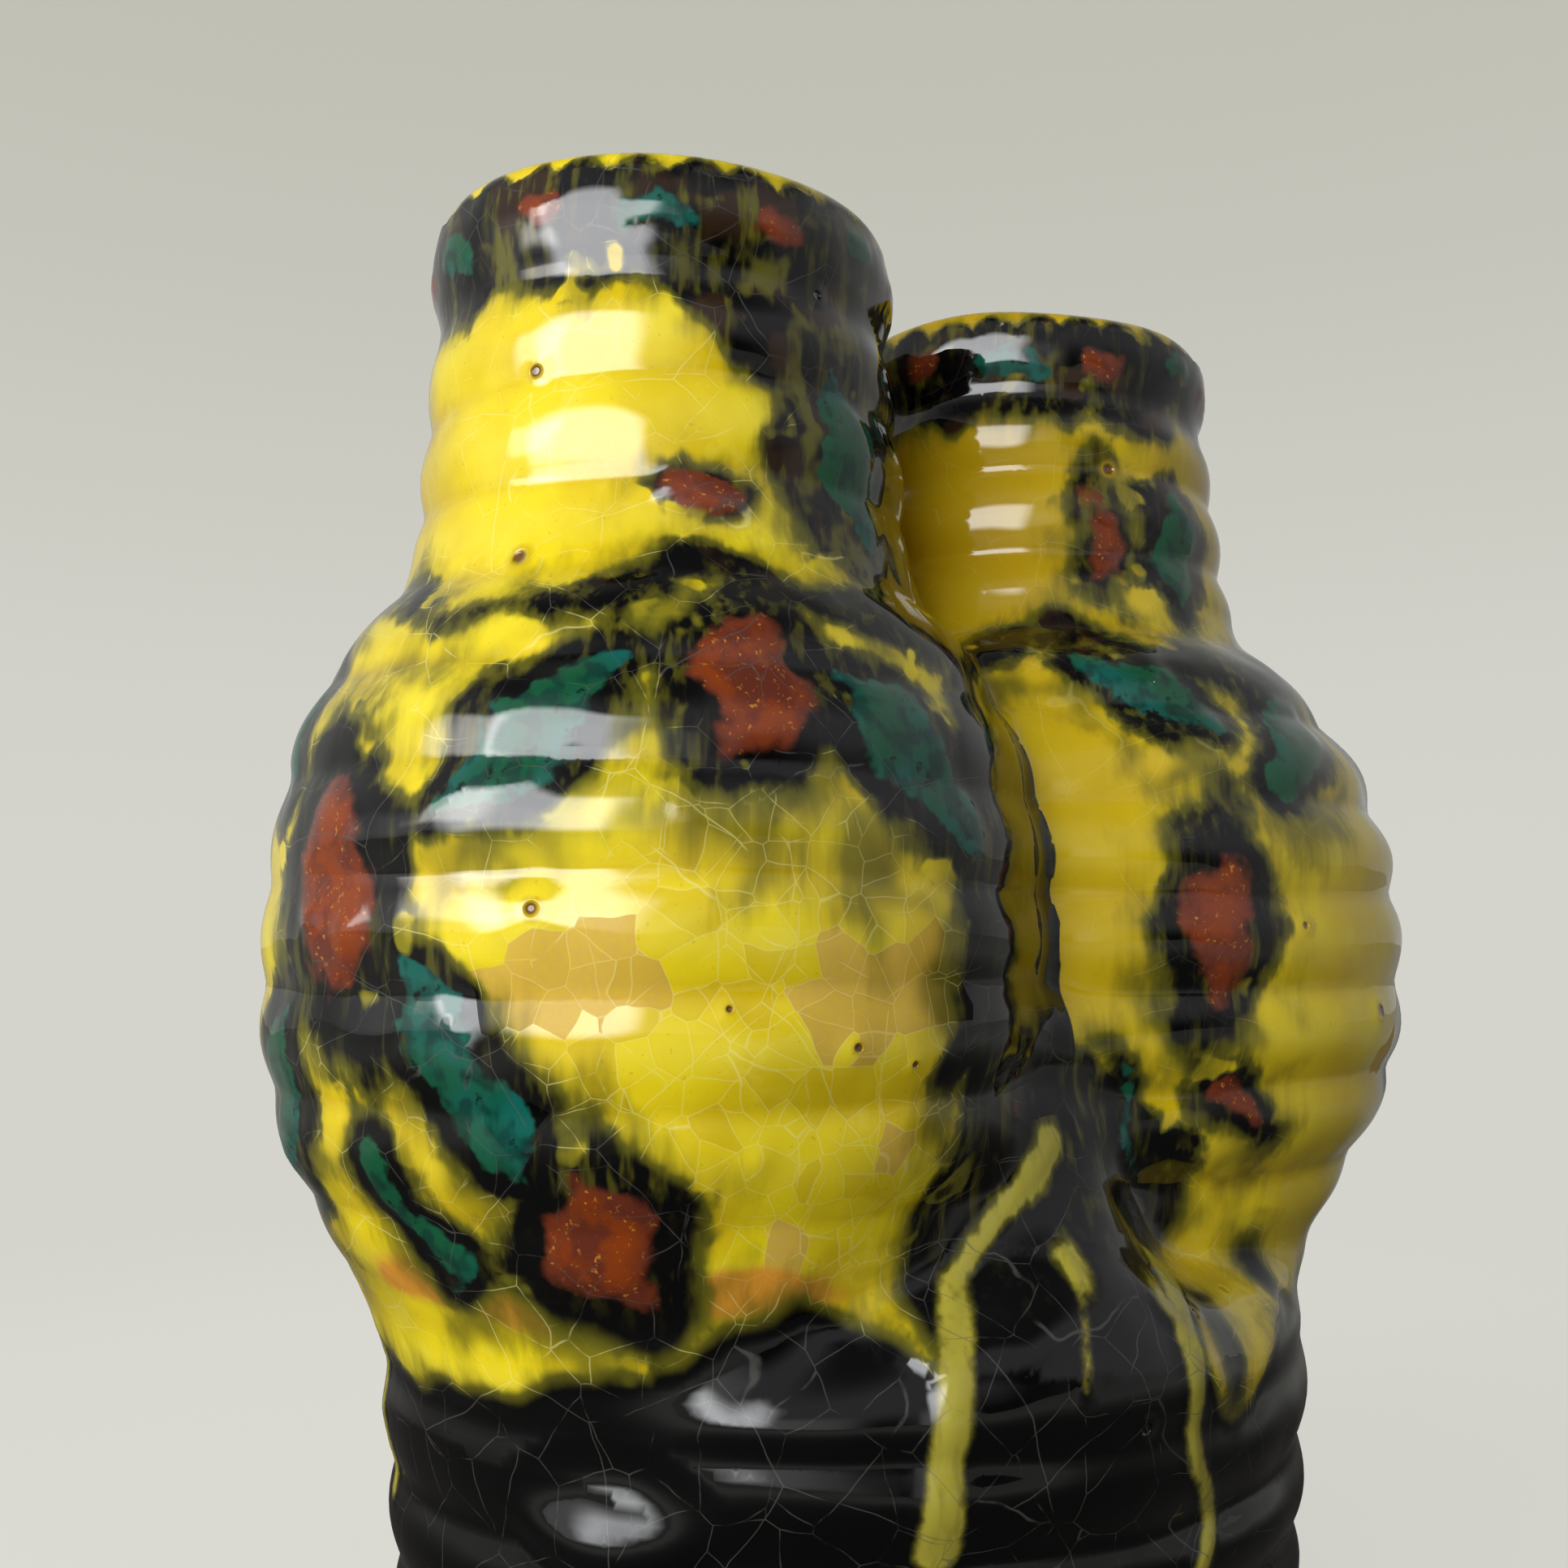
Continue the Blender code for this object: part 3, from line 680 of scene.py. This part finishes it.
class Shade:
    """Adds shader nodes to a material, a lamp or the world and joins them."""

    def __init__(self, owner):
        owner.use_nodes = True
        self.tree = owner.node_tree
        self.surface = self.tree.nodes.get("Principled BSDF")
        self.place = self.node("ShaderNodeTexCoord").outputs["Object"]

    def node(self, kind, **settings):
        """A new node with these settings."""
        made = self.tree.nodes.new(kind)
        for name, value in settings.items():
            setattr(made, name, value)
        return made

    def feed(self, socket, value):
        """Join another node's output to a socket, or set the socket's own value."""
        if isinstance(value, bpy.types.NodeSocket):
            self.tree.links.new(value, socket)
        else:
            socket.default_value = value

    def sum(self, operation, first, second=0.0, clamp=False):
        """One step of arithmetic."""
        made = self.node("ShaderNodeMath", operation=operation, use_clamp=clamp)
        self.feed(made.inputs[0], first)
        self.feed(made.inputs[1], second)
        return made.outputs[0]

    def step(self, value, low, high, top=1.0):
        """A smooth step from 0 at low to top at high."""
        made = self.node("ShaderNodeMapRange", interpolation_type="SMOOTHSTEP")
        self.feed(made.inputs["Value"], value)
        self.feed(made.inputs["From Min"], low)
        self.feed(made.inputs["From Max"], high)
        made.inputs["To Max"].default_value = top
        return made.outputs["Result"]

    def mix(self, amount, first, second):
        """Two colours mixed, from the first at 0 to the second at 1."""
        made = self.node("ShaderNodeMix", data_type="RGBA")
        self.feed(made.inputs["Factor"], amount)
        for socket, value in ((made.inputs[6], first), (made.inputs[7], second)):
            self.feed(socket, value if isinstance(value, bpy.types.NodeSocket) else (*value, 1.0))
        return made.outputs[2]

    def scaled(self, scale):
        """The place on the object, stretched by a scale for each axis."""
        made = self.node("ShaderNodeVectorMath", operation="MULTIPLY")
        self.feed(made.inputs[0], self.place)
        made.inputs[1].default_value = scale
        return made.outputs[0]

    def noise(self, scale, detail=3.0, rough=0.5, where=None, colour=False):
        """Cloudy noise, about 0.5 in the middle."""
        made = self.node("ShaderNodeTexNoise")
        self.feed(made.inputs["Vector"], where or self.place)
        made.inputs["Scale"].default_value = scale
        made.inputs["Detail"].default_value = detail
        made.inputs["Roughness"].default_value = rough
        return made.outputs["Color" if colour else "Fac"]

    def cells(self, scale, feature, where, output):
        """One output of a pattern of irregular cells."""
        made = self.node("ShaderNodeTexVoronoi", feature=feature)
        self.feed(made.inputs["Vector"], where)
        made.inputs["Scale"].default_value = scale
        return made.outputs[output]

    def layer(self, name):
        """A value painted on the mesh."""
        return self.node("ShaderNodeAttribute", attribute_name=name).outputs["Fac"]

    def frayed(self, gap, *roughs):
        """A distance made ragged by (noise, width) pairs."""
        for rough, width in roughs:
            gap = self.sum("ADD", gap, self.sum("MULTIPLY", self.sum("SUBTRACT", rough, 0.5), width))
        return gap


# Colours of the room and the glazes, in linear light, with the floor's lift, glow and fade
BACKDROP = (0.660, 0.655, 0.605)
ROOM = (0.15, 0.15, 0.155)
ROOM_LOW_SHEEN = (0.025, 0.025, 0.027)
ROOM_SIDE_SHEEN = (0.26, 0.26, 0.26)
ROOM_SHEEN = (0.34, 0.34, 0.36)
LEFT_WALL_SHEEN = (0.85, 0.85, 0.86)
ROOM_HIGH_SHEEN = (0.06, 0.06, 0.065)
FLOOR_LIFT = 0.78
FLOOR_COLOUR = (0.22, 0.215, 0.20)
FLOOR_SHEEN = (0.06, 0.058, 0.055)
FLOOR_GLOW = 0.35
FLOOR_FADE = (0.16, 0.50)
BACKDROP_TOP = (0.525, 0.525, 0.46)
BRIGHT_YELLOW = (0.840, 0.665, 0.010)
WARM_YELLOW = (0.720, 0.525, 0.006)
PALE_YELLOW = (0.860, 0.730, 0.070)
AMBER = (0.500, 0.310, 0.004)
OLIVE = (0.120, 0.110, 0.008)
DARK_OLIVE = (0.075, 0.070, 0.006)
BROWN_INK = (0.030, 0.014, 0.005)
RUN_YELLOW = (0.380, 0.330, 0.040)
BLACK = (0.0014, 0.0013, 0.0014)
TEAL = (0.006, 0.107, 0.084)
GREEN = (0.005, 0.080, 0.032)
DARK_TEAL = (0.003, 0.030, 0.024)
RUST = (0.245, 0.043, 0.005)
BRICK = (0.130, 0.026, 0.012)
ORANGE = (0.753, 0.305, 0.032)
PEACH = (0.640, 0.400, 0.085)
CLAY = (0.420, 0.200, 0.100)
CRACK = (0.880, 0.800, 0.300)
CRACK_ON_BLACK = (0.085, 0.082, 0.070)
PIT = (0.140, 0.050, 0.012)

# Cells to the metre in the crackle, the plates between it and the pinholes
LONG_CRAZE = 46
WIDE_CRAZE = 135
PLATES = 235
PINHOLES = 95
PLATE_SQUASH = (1.0, 1.0, 1.8)
# The clear coat, and the rise and fall of the skin under it, in metres
COAT_ROUGHNESS = 0.035
COAT_IOR = 1.62
LUMP_RISE = 0.0011
FLAKE_DEPTH = 0.00015
RIM_RISE = 0.00025
HOLE_DEPTH = 0.0007
CRATER_DEPTH = 0.0009
# Heights over which the glaze changes its manner, in metres
LIVELY_EDGE = (0.070, 0.094)
THIN_INK = (0.072, 0.090)
COLLAR_INK = (0.146, 0.160)
SMEARED_RUN = (0.072, 0.086)
# Ways that the room's walls lie in, from the vase
BEHIND = (0.60, 0.80, 0.0)
LEFTWARD = (-0.96, -0.28, 0.0)


def glaze_material():
    """Crackled yellow glaze with black, rust and teal brushed into it, all under one gloss."""
    material = bpy.data.materials.new("crackled glaze")
    s = Shade(material)
    grain = s.noise(430, 4, 0.6)
    broad = s.noise(75, 3)
    coarse = s.noise(190, 4, 0.6)
    lump = s.noise(170, 1.0, 0.4)
    ripple = s.noise(420, 1.5, 0.45)
    streak = s.noise(1.0, 2, 0.5, s.scaled((700, 700, 70)))
    speck = s.noise(1400, 3, 0.6)

    ground = s.mix(s.step(broad, 0.38, 0.66), BRIGHT_YELLOW, WARM_YELLOW)
    relief = s.layer("relief")
    ground = s.mix(s.step(relief, 0.1, 1.1, 0.30), ground, PALE_YELLOW)
    ground = s.mix(s.step(relief, -0.1, -1.2, 0.35), ground, AMBER)
    ground = s.mix(s.step(coarse, 0.56, 0.72, 0.4), ground, PALE_YELLOW)
    # Painted shade, partly a thicker amber glaze, on the right bottle near the crease and up its neck
    ground = s.mix(s.sum("MULTIPLY", s.layer("deep"), 0.8), ground, AMBER)
    ground = s.mix(s.step(speck, 0.64, 0.74, 0.45), ground, AMBER)

    shift = s.node("ShaderNodeVectorMath", operation="MULTIPLY_ADD")
    s.feed(shift.inputs[0], s.noise(120, 2, 0.5, colour=True))
    shift.inputs[1].default_value = (0.0022, 0.0022, 0.0022)
    s.feed(shift.inputs[2], s.place)
    warped = shift.outputs[0]
    plates = s.node("ShaderNodeSeparateColor")
    s.feed(plates.inputs[0], s.cells(PLATES, "F1", warped, "Color"))
    plate_place = s.node("ShaderNodeVectorMath", operation="MULTIPLY")
    s.feed(plate_place.inputs[0], s.cells(PLATES, "F1", warped, "Position"))
    plate_place.inputs[1].default_value = PLATE_SQUASH
    patch = 9.0
    for side, turn, height, half_width in FLAKES:
        centre = skin_point(LEFT if side == "left" else RIGHT, turn, height)
        away = s.node("ShaderNodeVectorMath", operation="DISTANCE")
        s.feed(away.inputs[0], plate_place.outputs[0])
        away.inputs[1].default_value = centre * PLATE_SQUASH
        patch = s.sum("MINIMUM", patch, s.sum("DIVIDE", away.outputs["Value"], half_width * MM))
    flake = s.step(s.frayed(patch, (plates.outputs[0], 0.5)), 1.01, 0.99)
    zone = s.sum("ADD", s.layer("flake"), s.sum("MULTIPLY", s.sum("SUBTRACT", broad, 0.5), 1.6))
    ground = s.mix(s.sum("MULTIPLY", flake, 0.85), ground, s.mix(s.step(speck, 0.4, 0.65, 0.25), PEACH, WARM_YELLOW))
    tinted = s.sum("MULTIPLY", s.step(plates.outputs[1], 0.45, 0.95), s.step(zone, 0.1, 0.6))
    ground = s.mix(s.sum("MULTIPLY", tinted, 0.30), ground, AMBER)
    blush = s.frayed(s.layer("blush"), (grain, 0.4), (lump, 0.5))
    ground = s.mix(s.step(blush, 0.15, 0.60, 0.95), ground, ORANGE)

    above = s.node("ShaderNodeSeparateXYZ")
    s.feed(above.inputs[0], s.place)
    lively = s.sum("ADD", s.step(above.outputs["Z"], *LIVELY_EDGE, 0.75), 0.25)
    fray = s.frayed(s.step(s.noise(140, 2, 0.5), 0.60, 0.78, 6.0), (ripple, 1.8), (streak, 2.0), (lump, 4.2))
    black_gap = s.sum("ADD", s.layer("black"), s.sum("MULTIPLY", fray, lively))
    cover = s.step(black_gap, 2.8, -1.7)
    # Olive halos of wash round the black, partly painted shade along the left bottle's side by the crease
    halo_and_shade = s.step(s.frayed(s.layer("wash_and_shade"), (streak, 5.0), (lump, 7.0)), 6.0, -0.5)
    halo_and_shade = s.sum("MULTIPLY", halo_and_shade, s.step(s.noise(110, 1), 0.32, 0.54, 0.85))
    colour = s.mix(halo_and_shade, ground, OLIVE)
    colour = s.mix(s.step(cover, 0.02, 0.40), colour, OLIVE)
    thin_ink = s.sum("MULTIPLY", s.step(streak, 0.48, 0.70, 0.9), s.step(above.outputs["Z"], *THIN_INK))
    thin_ink = s.sum("MULTIPLY", thin_ink, s.step(broad, 0.60, 0.42))
    ink = s.mix(thin_ink, BLACK, DARK_OLIVE)
    high = s.sum("MULTIPLY", s.step(above.outputs["Z"], *COLLAR_INK), s.step(s.noise(165, 2, 0.5), 0.48, 0.62, 0.9))
    ink = s.mix(high, ink, s.mix(s.step(s.frayed(lump, (streak, 0.8)), 0.44, 0.62), BROWN_INK, OLIVE))
    colour = s.mix(s.step(cover, 0.30, 0.85), colour, ink)

    rust_gap = s.frayed(s.layer("rust"), (ripple, 2.4), (lump, 3.4), (grain, 1.2))
    rust = s.mix(s.step(coarse, 0.42, 0.62), RUST, BRICK)
    rust = s.mix(s.step(rust_gap, -2.4, -0.4, 0.6), rust, BRICK)
    rust = s.mix(s.step(speck, 0.60, 0.72, 0.6), rust, ORANGE)
    colour = s.mix(s.step(rust_gap, 0.4, -0.9), colour, rust)

    teal_gap = s.frayed(s.layer("teal"), (ripple, 3.0), (lump, 2.6), (grain, 1.6))
    teal = s.mix(s.step(broad, 0.40, 0.60), TEAL, GREEN)
    teal = s.mix(s.step(s.sum("ADD", ripple, s.sum("MULTIPLY", streak, 0.5)), 0.68, 0.88, 0.75), teal, DARK_TEAL)
    teal = s.mix(s.step(grain, 0.60, 0.70, 0.9), teal, BLACK)
    colour = s.mix(s.step(teal_gap, 0.3, -0.5), colour, teal)

    smeared = s.step(above.outputs["Z"], *SMEARED_RUN)
    run_edge = s.frayed(s.layer("run"), (grain, 1.4))
    run_edge = s.sum("ADD", run_edge, s.sum("MULTIPLY", smeared, s.frayed(0.0, (streak, 3.0), (lump, 5.0))))
    run = s.step(run_edge, s.sum("ADD", s.sum("MULTIPLY", smeared, 1.2), 0.3), -0.9)
    thin = s.mix(s.step(streak, 0.50, 0.80, 0.6), RUN_YELLOW, OLIVE)
    thin = s.mix(s.step(run_edge, 0.1, -1.1), OLIVE, thin)
    colour = s.mix(s.sum("MULTIPLY", run, s.step(cover, 0.1, 0.7)), colour, thin)

    plain = s.step(cover, 0.7, 0.2)
    fine = s.step(s.cells(PLATES, "DISTANCE_TO_EDGE", warped, "Distance"), 0.018, 0.004)
    fine = s.sum("MULTIPLY", fine, s.sum("MULTIPLY", plain, s.step(zone, 0.0, 0.5, 0.8)))
    wide = s.step(s.cells(WIDE_CRAZE, "DISTANCE_TO_EDGE", warped, "Distance"), 0.012, 0.002)
    wide = s.sum("MULTIPLY", wide, s.step(coarse, 0.40, 0.60))
    long_crack = s.step(s.cells(LONG_CRAZE, "DISTANCE_TO_EDGE", warped, "Distance"), 0.0042, 0.0008)
    long_crack = s.sum("MULTIPLY", long_crack, s.step(lump, 0.38, 0.52))
    line = s.sum("MAXIMUM", s.sum("MAXIMUM", fine, long_crack), s.sum("MULTIPLY", wide, s.sum("SUBTRACT", 1.0, fine)))
    crack_colour = s.mix(s.step(cover, 0.3, 0.8), CRACK, CRACK_ON_BLACK)
    strength = s.sum("MULTIPLY", s.layer("craze"), s.sum("SUBTRACT", 0.55, s.sum("MULTIPLY", plain, 0.18)))
    colour = s.mix(s.sum("MULTIPLY", line, strength), colour, crack_colour)

    holes = s.node("ShaderNodeSeparateColor")
    s.feed(holes.inputs[0], s.cells(PINHOLES, "F1", s.place, "Color"))
    hole_reach = s.cells(PINHOLES, "F1", s.place, "Distance")
    chosen = s.step(holes.outputs[2], 0.80, 0.82)
    hole = s.sum("MULTIPLY", s.step(hole_reach, 0.075, 0.045), chosen)
    rim = s.sum("MULTIPLY", s.step(hole_reach, 0.20, 0.06), chosen)
    colour = s.mix(s.sum("MULTIPLY", rim, s.step(cover, 0.3, 0.0, 0.25)), colour, AMBER)
    colour = s.mix(s.sum("MULTIPLY", hole, s.sum("MULTIPLY", plain, 0.9)), colour, PIT)

    crater = 9.0
    for side, turn, height, radius, rise, burst in BLISTERS:
        if burst:
            away = s.node("ShaderNodeVectorMath", operation="DISTANCE")
            s.feed(away.inputs[0], s.place)
            away.inputs[1].default_value = skin_point(LEFT if side == "left" else RIGHT, turn, height)
            crater = s.sum("MINIMUM", crater, s.sum("DIVIDE", away.outputs["Value"], burst * MM))
    crater = s.frayed(crater, (ripple, 0.5))
    colour = s.mix(s.step(crater, 2.2, 1.0, 0.55), colour, AMBER)
    colour = s.mix(s.step(crater, 1.05, 0.5, 0.95), colour, PIT)

    bare = s.layer("bare")
    colour = s.mix(bare, colour, s.mix(s.step(speck, 0.4, 0.6), CLAY, BRICK))
    s.feed(s.surface.inputs["Base Color"], colour)

    dull = s.sum("ADD", s.sum("MULTIPLY", grain, 0.16), s.sum("MULTIPLY", flake, 0.35))
    dull = s.sum("ADD", s.sum("ADD", dull, 0.10), s.sum("MULTIPLY", bare, 0.45))
    s.feed(s.surface.inputs["Roughness"], dull)
    gloss = s.sum("SUBTRACT", 1.0, s.sum("MAXIMUM", bare, s.sum("MULTIPLY", flake, 0.8)), True)
    s.feed(s.surface.inputs["Coat Weight"], gloss)
    s.surface.inputs["Coat Roughness"].default_value = COAT_ROUGHNESS
    s.surface.inputs["Coat IOR"].default_value = COAT_IOR
    s.surface.inputs["Specular IOR Level"].default_value = 0.0

    height = s.sum("MULTIPLY", s.noise(90, 0.5), LUMP_RISE)
    height = s.sum("SUBTRACT", height, s.sum("MULTIPLY", flake, FLAKE_DEPTH))
    height = s.sum("ADD", height, s.sum("MULTIPLY", rim, RIM_RISE))
    height = s.sum("SUBTRACT", height, s.sum("MULTIPLY", hole, HOLE_DEPTH))
    height = s.sum("SUBTRACT", height, s.step(crater, 1.2, 0.4, CRATER_DEPTH))
    bump = s.node("ShaderNodeBump")
    bump.inputs["Strength"].default_value = 0.7
    bump.inputs["Distance"].default_value = 1.0
    s.feed(bump.inputs["Height"], height)
    s.feed(s.surface.inputs["Normal"], bump.outputs["Normal"])
    s.feed(s.surface.inputs["Coat Normal"], bump.outputs["Normal"])
    return material


def build_vase():
    """The glazed body cut into the drum and each bottle's bulb, neck and lip."""
    body, points = thrown_form()
    paint(points, body.data)
    glaze = glaze_material()
    seat = LEFT.bulb_z[0] + SEAT_RISE
    neck = LEFT.neck_z[0]
    lip = LEFT.neck_z[1]
    up, down = (0, 0, 1), (0, 0, -1)
    drum = cut_piece(body, "drum", [((0, 0, seat), up)])
    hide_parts("drum_wall", "drum_shoulder", "drum_floor", "front_seam", "back_seam")
    pieces = [drum]
    for bottle, outward in ((LEFT, (1, 0, 0)), (RIGHT, (-1, 0, 0))):
        half = ((CREASE_X, 0, 0), outward)
        for part, low, high in (("bulb", seat, neck), ("neck", neck, lip), ("lip", lip, None)):
            cuts = [half, ((0, 0, low), down)]
            if high:
                cuts.append(((0, 0, high), up))
            piece = cut_piece(body, f"{bottle.side}_{part}_skin", cuts)
            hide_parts(f"{bottle.side}_{part}")
            pieces.append(piece)
    for piece in pieces:
        piece.data.materials.clear()
        piece.data.materials.append(glaze)
        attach(piece, "root")
    bpy.data.objects.remove(body, do_unlink=True)
    return pieces


def area_light(name, place, target, size, power, colour, soft, mirrored=True):
    """A rectangular lamp at place, turned to target, fading out over a share of each side."""
    data = bpy.data.lights.new(name, "AREA")
    data.shape = "RECTANGLE"
    data.size, data.size_y = size
    data.energy = power / (1 - soft) ** 2
    data.color = colour
    s = Shade(data)
    spot = s.node("ShaderNodeSeparateXYZ")
    s.feed(spot.inputs[0], s.node("ShaderNodeNewGeometry").outputs["Parametric"])
    strength = 1.0
    for side in "XY":
        away = s.sum("ABSOLUTE", s.sum("SUBTRACT", spot.outputs[side], 0.5))
        strength = s.sum("MULTIPLY", s.step(away, 0.5, 0.5 - soft), strength)
    s.feed(s.tree.nodes["Emission"].inputs["Strength"], strength)
    lamp = bpy.data.objects.new(name, data)
    lamp.location = place
    lamp.rotation_euler = (Vector(target) - Vector(place)).to_track_quat("-Z", "Y").to_euler()
    lamp.visible_camera = False
    lamp.visible_glossy = mirrored
    bpy.context.scene.collection.objects.link(lamp)
    return lamp


def studio_world():
    """A dim room, with a pale backdrop that the camera and glossy reflections see behind the vase."""
    world = bpy.data.worlds.new("studio")
    bpy.context.scene.world = world
    s = Shade(world)
    way = s.node("ShaderNodeTexCoord").outputs["Generated"]
    height = s.node("ShaderNodeSeparateXYZ")
    s.feed(height.inputs[0], way)
    height = height.outputs["Z"]
    path = s.node("ShaderNodeLightPath")
    behind = s.node("ShaderNodeVectorMath", operation="DOT_PRODUCT")
    s.feed(behind.inputs[0], way)
    behind.inputs[1].default_value = BEHIND
    mirrored = s.sum("MULTIPLY", path.outputs["Is Glossy Ray"], s.step(behind.outputs["Value"], -0.2, 0.6, 0.4))
    aside = s.step(behind.outputs["Value"], -0.85, -0.40)
    sheen = s.mix(s.step(height, 0.05, 0.45), s.mix(aside, ROOM_LOW_SHEEN, ROOM_SIDE_SHEEN), ROOM_SHEEN)
    left = s.node("ShaderNodeVectorMath", operation="DOT_PRODUCT")
    s.feed(left.inputs[0], way)
    left.inputs[1].default_value = LEFTWARD
    wall = s.sum("MULTIPLY", s.step(left.outputs["Value"], 0.45, 0.85), s.step(height, -0.10, 0.05))
    sheen = s.mix(s.sum("MULTIPLY", wall, s.step(height, 0.45, 0.25)), sheen, LEFT_WALL_SHEEN)
    sheen = s.mix(s.step(height, 0.65, 0.90), sheen, ROOM_HIGH_SHEEN)
    room = s.mix(path.outputs["Is Glossy Ray"], ROOM, sheen)
    backdrop = s.mix(s.step(height, 0.02, 0.55), BACKDROP, BACKDROP_TOP)
    colour = s.mix(s.sum("ADD", mirrored, path.outputs["Is Camera Ray"]), room, backdrop)
    s.feed(s.tree.nodes["Background"].inputs["Color"], colour)


def studio_floor():
    """A pale floor that keeps the vase's shadow and fades into the backdrop."""
    deselect()
    bpy.ops.mesh.primitive_plane_add(size=8.0, location=(0, 0, 0))
    floor = bpy.context.active_object
    floor.name = "floor"
    material = bpy.data.materials.new("pale floor")
    s = Shade(material)
    path = s.node("ShaderNodeLightPath")
    s.feed(s.surface.inputs["Base Color"], s.mix(path.outputs["Is Glossy Ray"], FLOOR_COLOUR, FLOOR_SHEEN))
    s.surface.inputs["Roughness"].default_value = 0.9
    s.surface.inputs["Specular IOR Level"].default_value = 0.1
    reach = s.node("ShaderNodeVectorMath", operation="LENGTH")
    s.feed(reach.inputs[0], s.place)
    camera_ray = path.outputs["Is Camera Ray"]
    lift = s.node("ShaderNodeEmission")
    lift.inputs["Color"].default_value = (*BACKDROP, 1.0)
    s.feed(lift.inputs["Strength"], s.sum("MULTIPLY", camera_ray, FLOOR_LIFT))
    both = s.node("ShaderNodeAddShader")
    s.feed(both.inputs[0], s.surface.outputs[0])
    s.feed(both.inputs[1], lift.outputs[0])
    far = s.node("ShaderNodeEmission")
    far.inputs["Color"].default_value = (*BACKDROP, 1.0)
    fade = s.node("ShaderNodeMixShader")
    seen = s.sum("ADD", camera_ray, s.sum("MULTIPLY", path.outputs["Is Glossy Ray"], FLOOR_GLOW))
    s.feed(fade.inputs[0], s.sum("MULTIPLY", seen, s.step(reach.outputs["Value"], *FLOOR_FADE)))
    s.feed(fade.inputs[1], both.outputs[0])
    s.feed(fade.inputs[2], far.outputs[0])
    s.feed(s.tree.nodes["Material Output"].inputs["Surface"], fade.outputs[0])
    floor.data.materials.append(material)


def stage_and_light():
    """The floor, the lamps, the backdrop and the camera."""
    studio_world()
    studio_floor()
    area_light("window", (-0.795, -0.345, 0.39), (-0.02, 0, 0.11), (0.95, 0.72), 8.6, (0.97, 0.985, 1.0), 0.2)
    area_light("side light", (-0.95, 0.05, 0.42), (-0.02, 0, 0.11), (0.48, 0.48), 1.8, (1.0, 0.97, 0.90), 0.25)
    area_light("back light", (0.50, 0.75, 0.75), (0.02, 0, 0.11), (1.6, 1.1), 8.0, (1.0, 0.98, 0.95), 0.35, False)
    data = bpy.data.cameras.new("camera")
    data.sensor_width = 36.0
    data.lens = CAMERA_LENS
    data.clip_start = 0.01
    camera = bpy.data.objects.new("camera", data)
    camera.location = [v * MM for v in CAMERA_PLACE]
    turn = math.radians(CAMERA_TURN)
    camera.rotation_euler = Euler((math.radians(90 + CAMERA_PITCH), 0, turn), "XYZ")
    bpy.context.scene.collection.objects.link(camera)
    bpy.context.scene.camera = camera
    bpy.context.scene.view_settings.view_transform = "Standard"


build_vase()
stage_and_light()
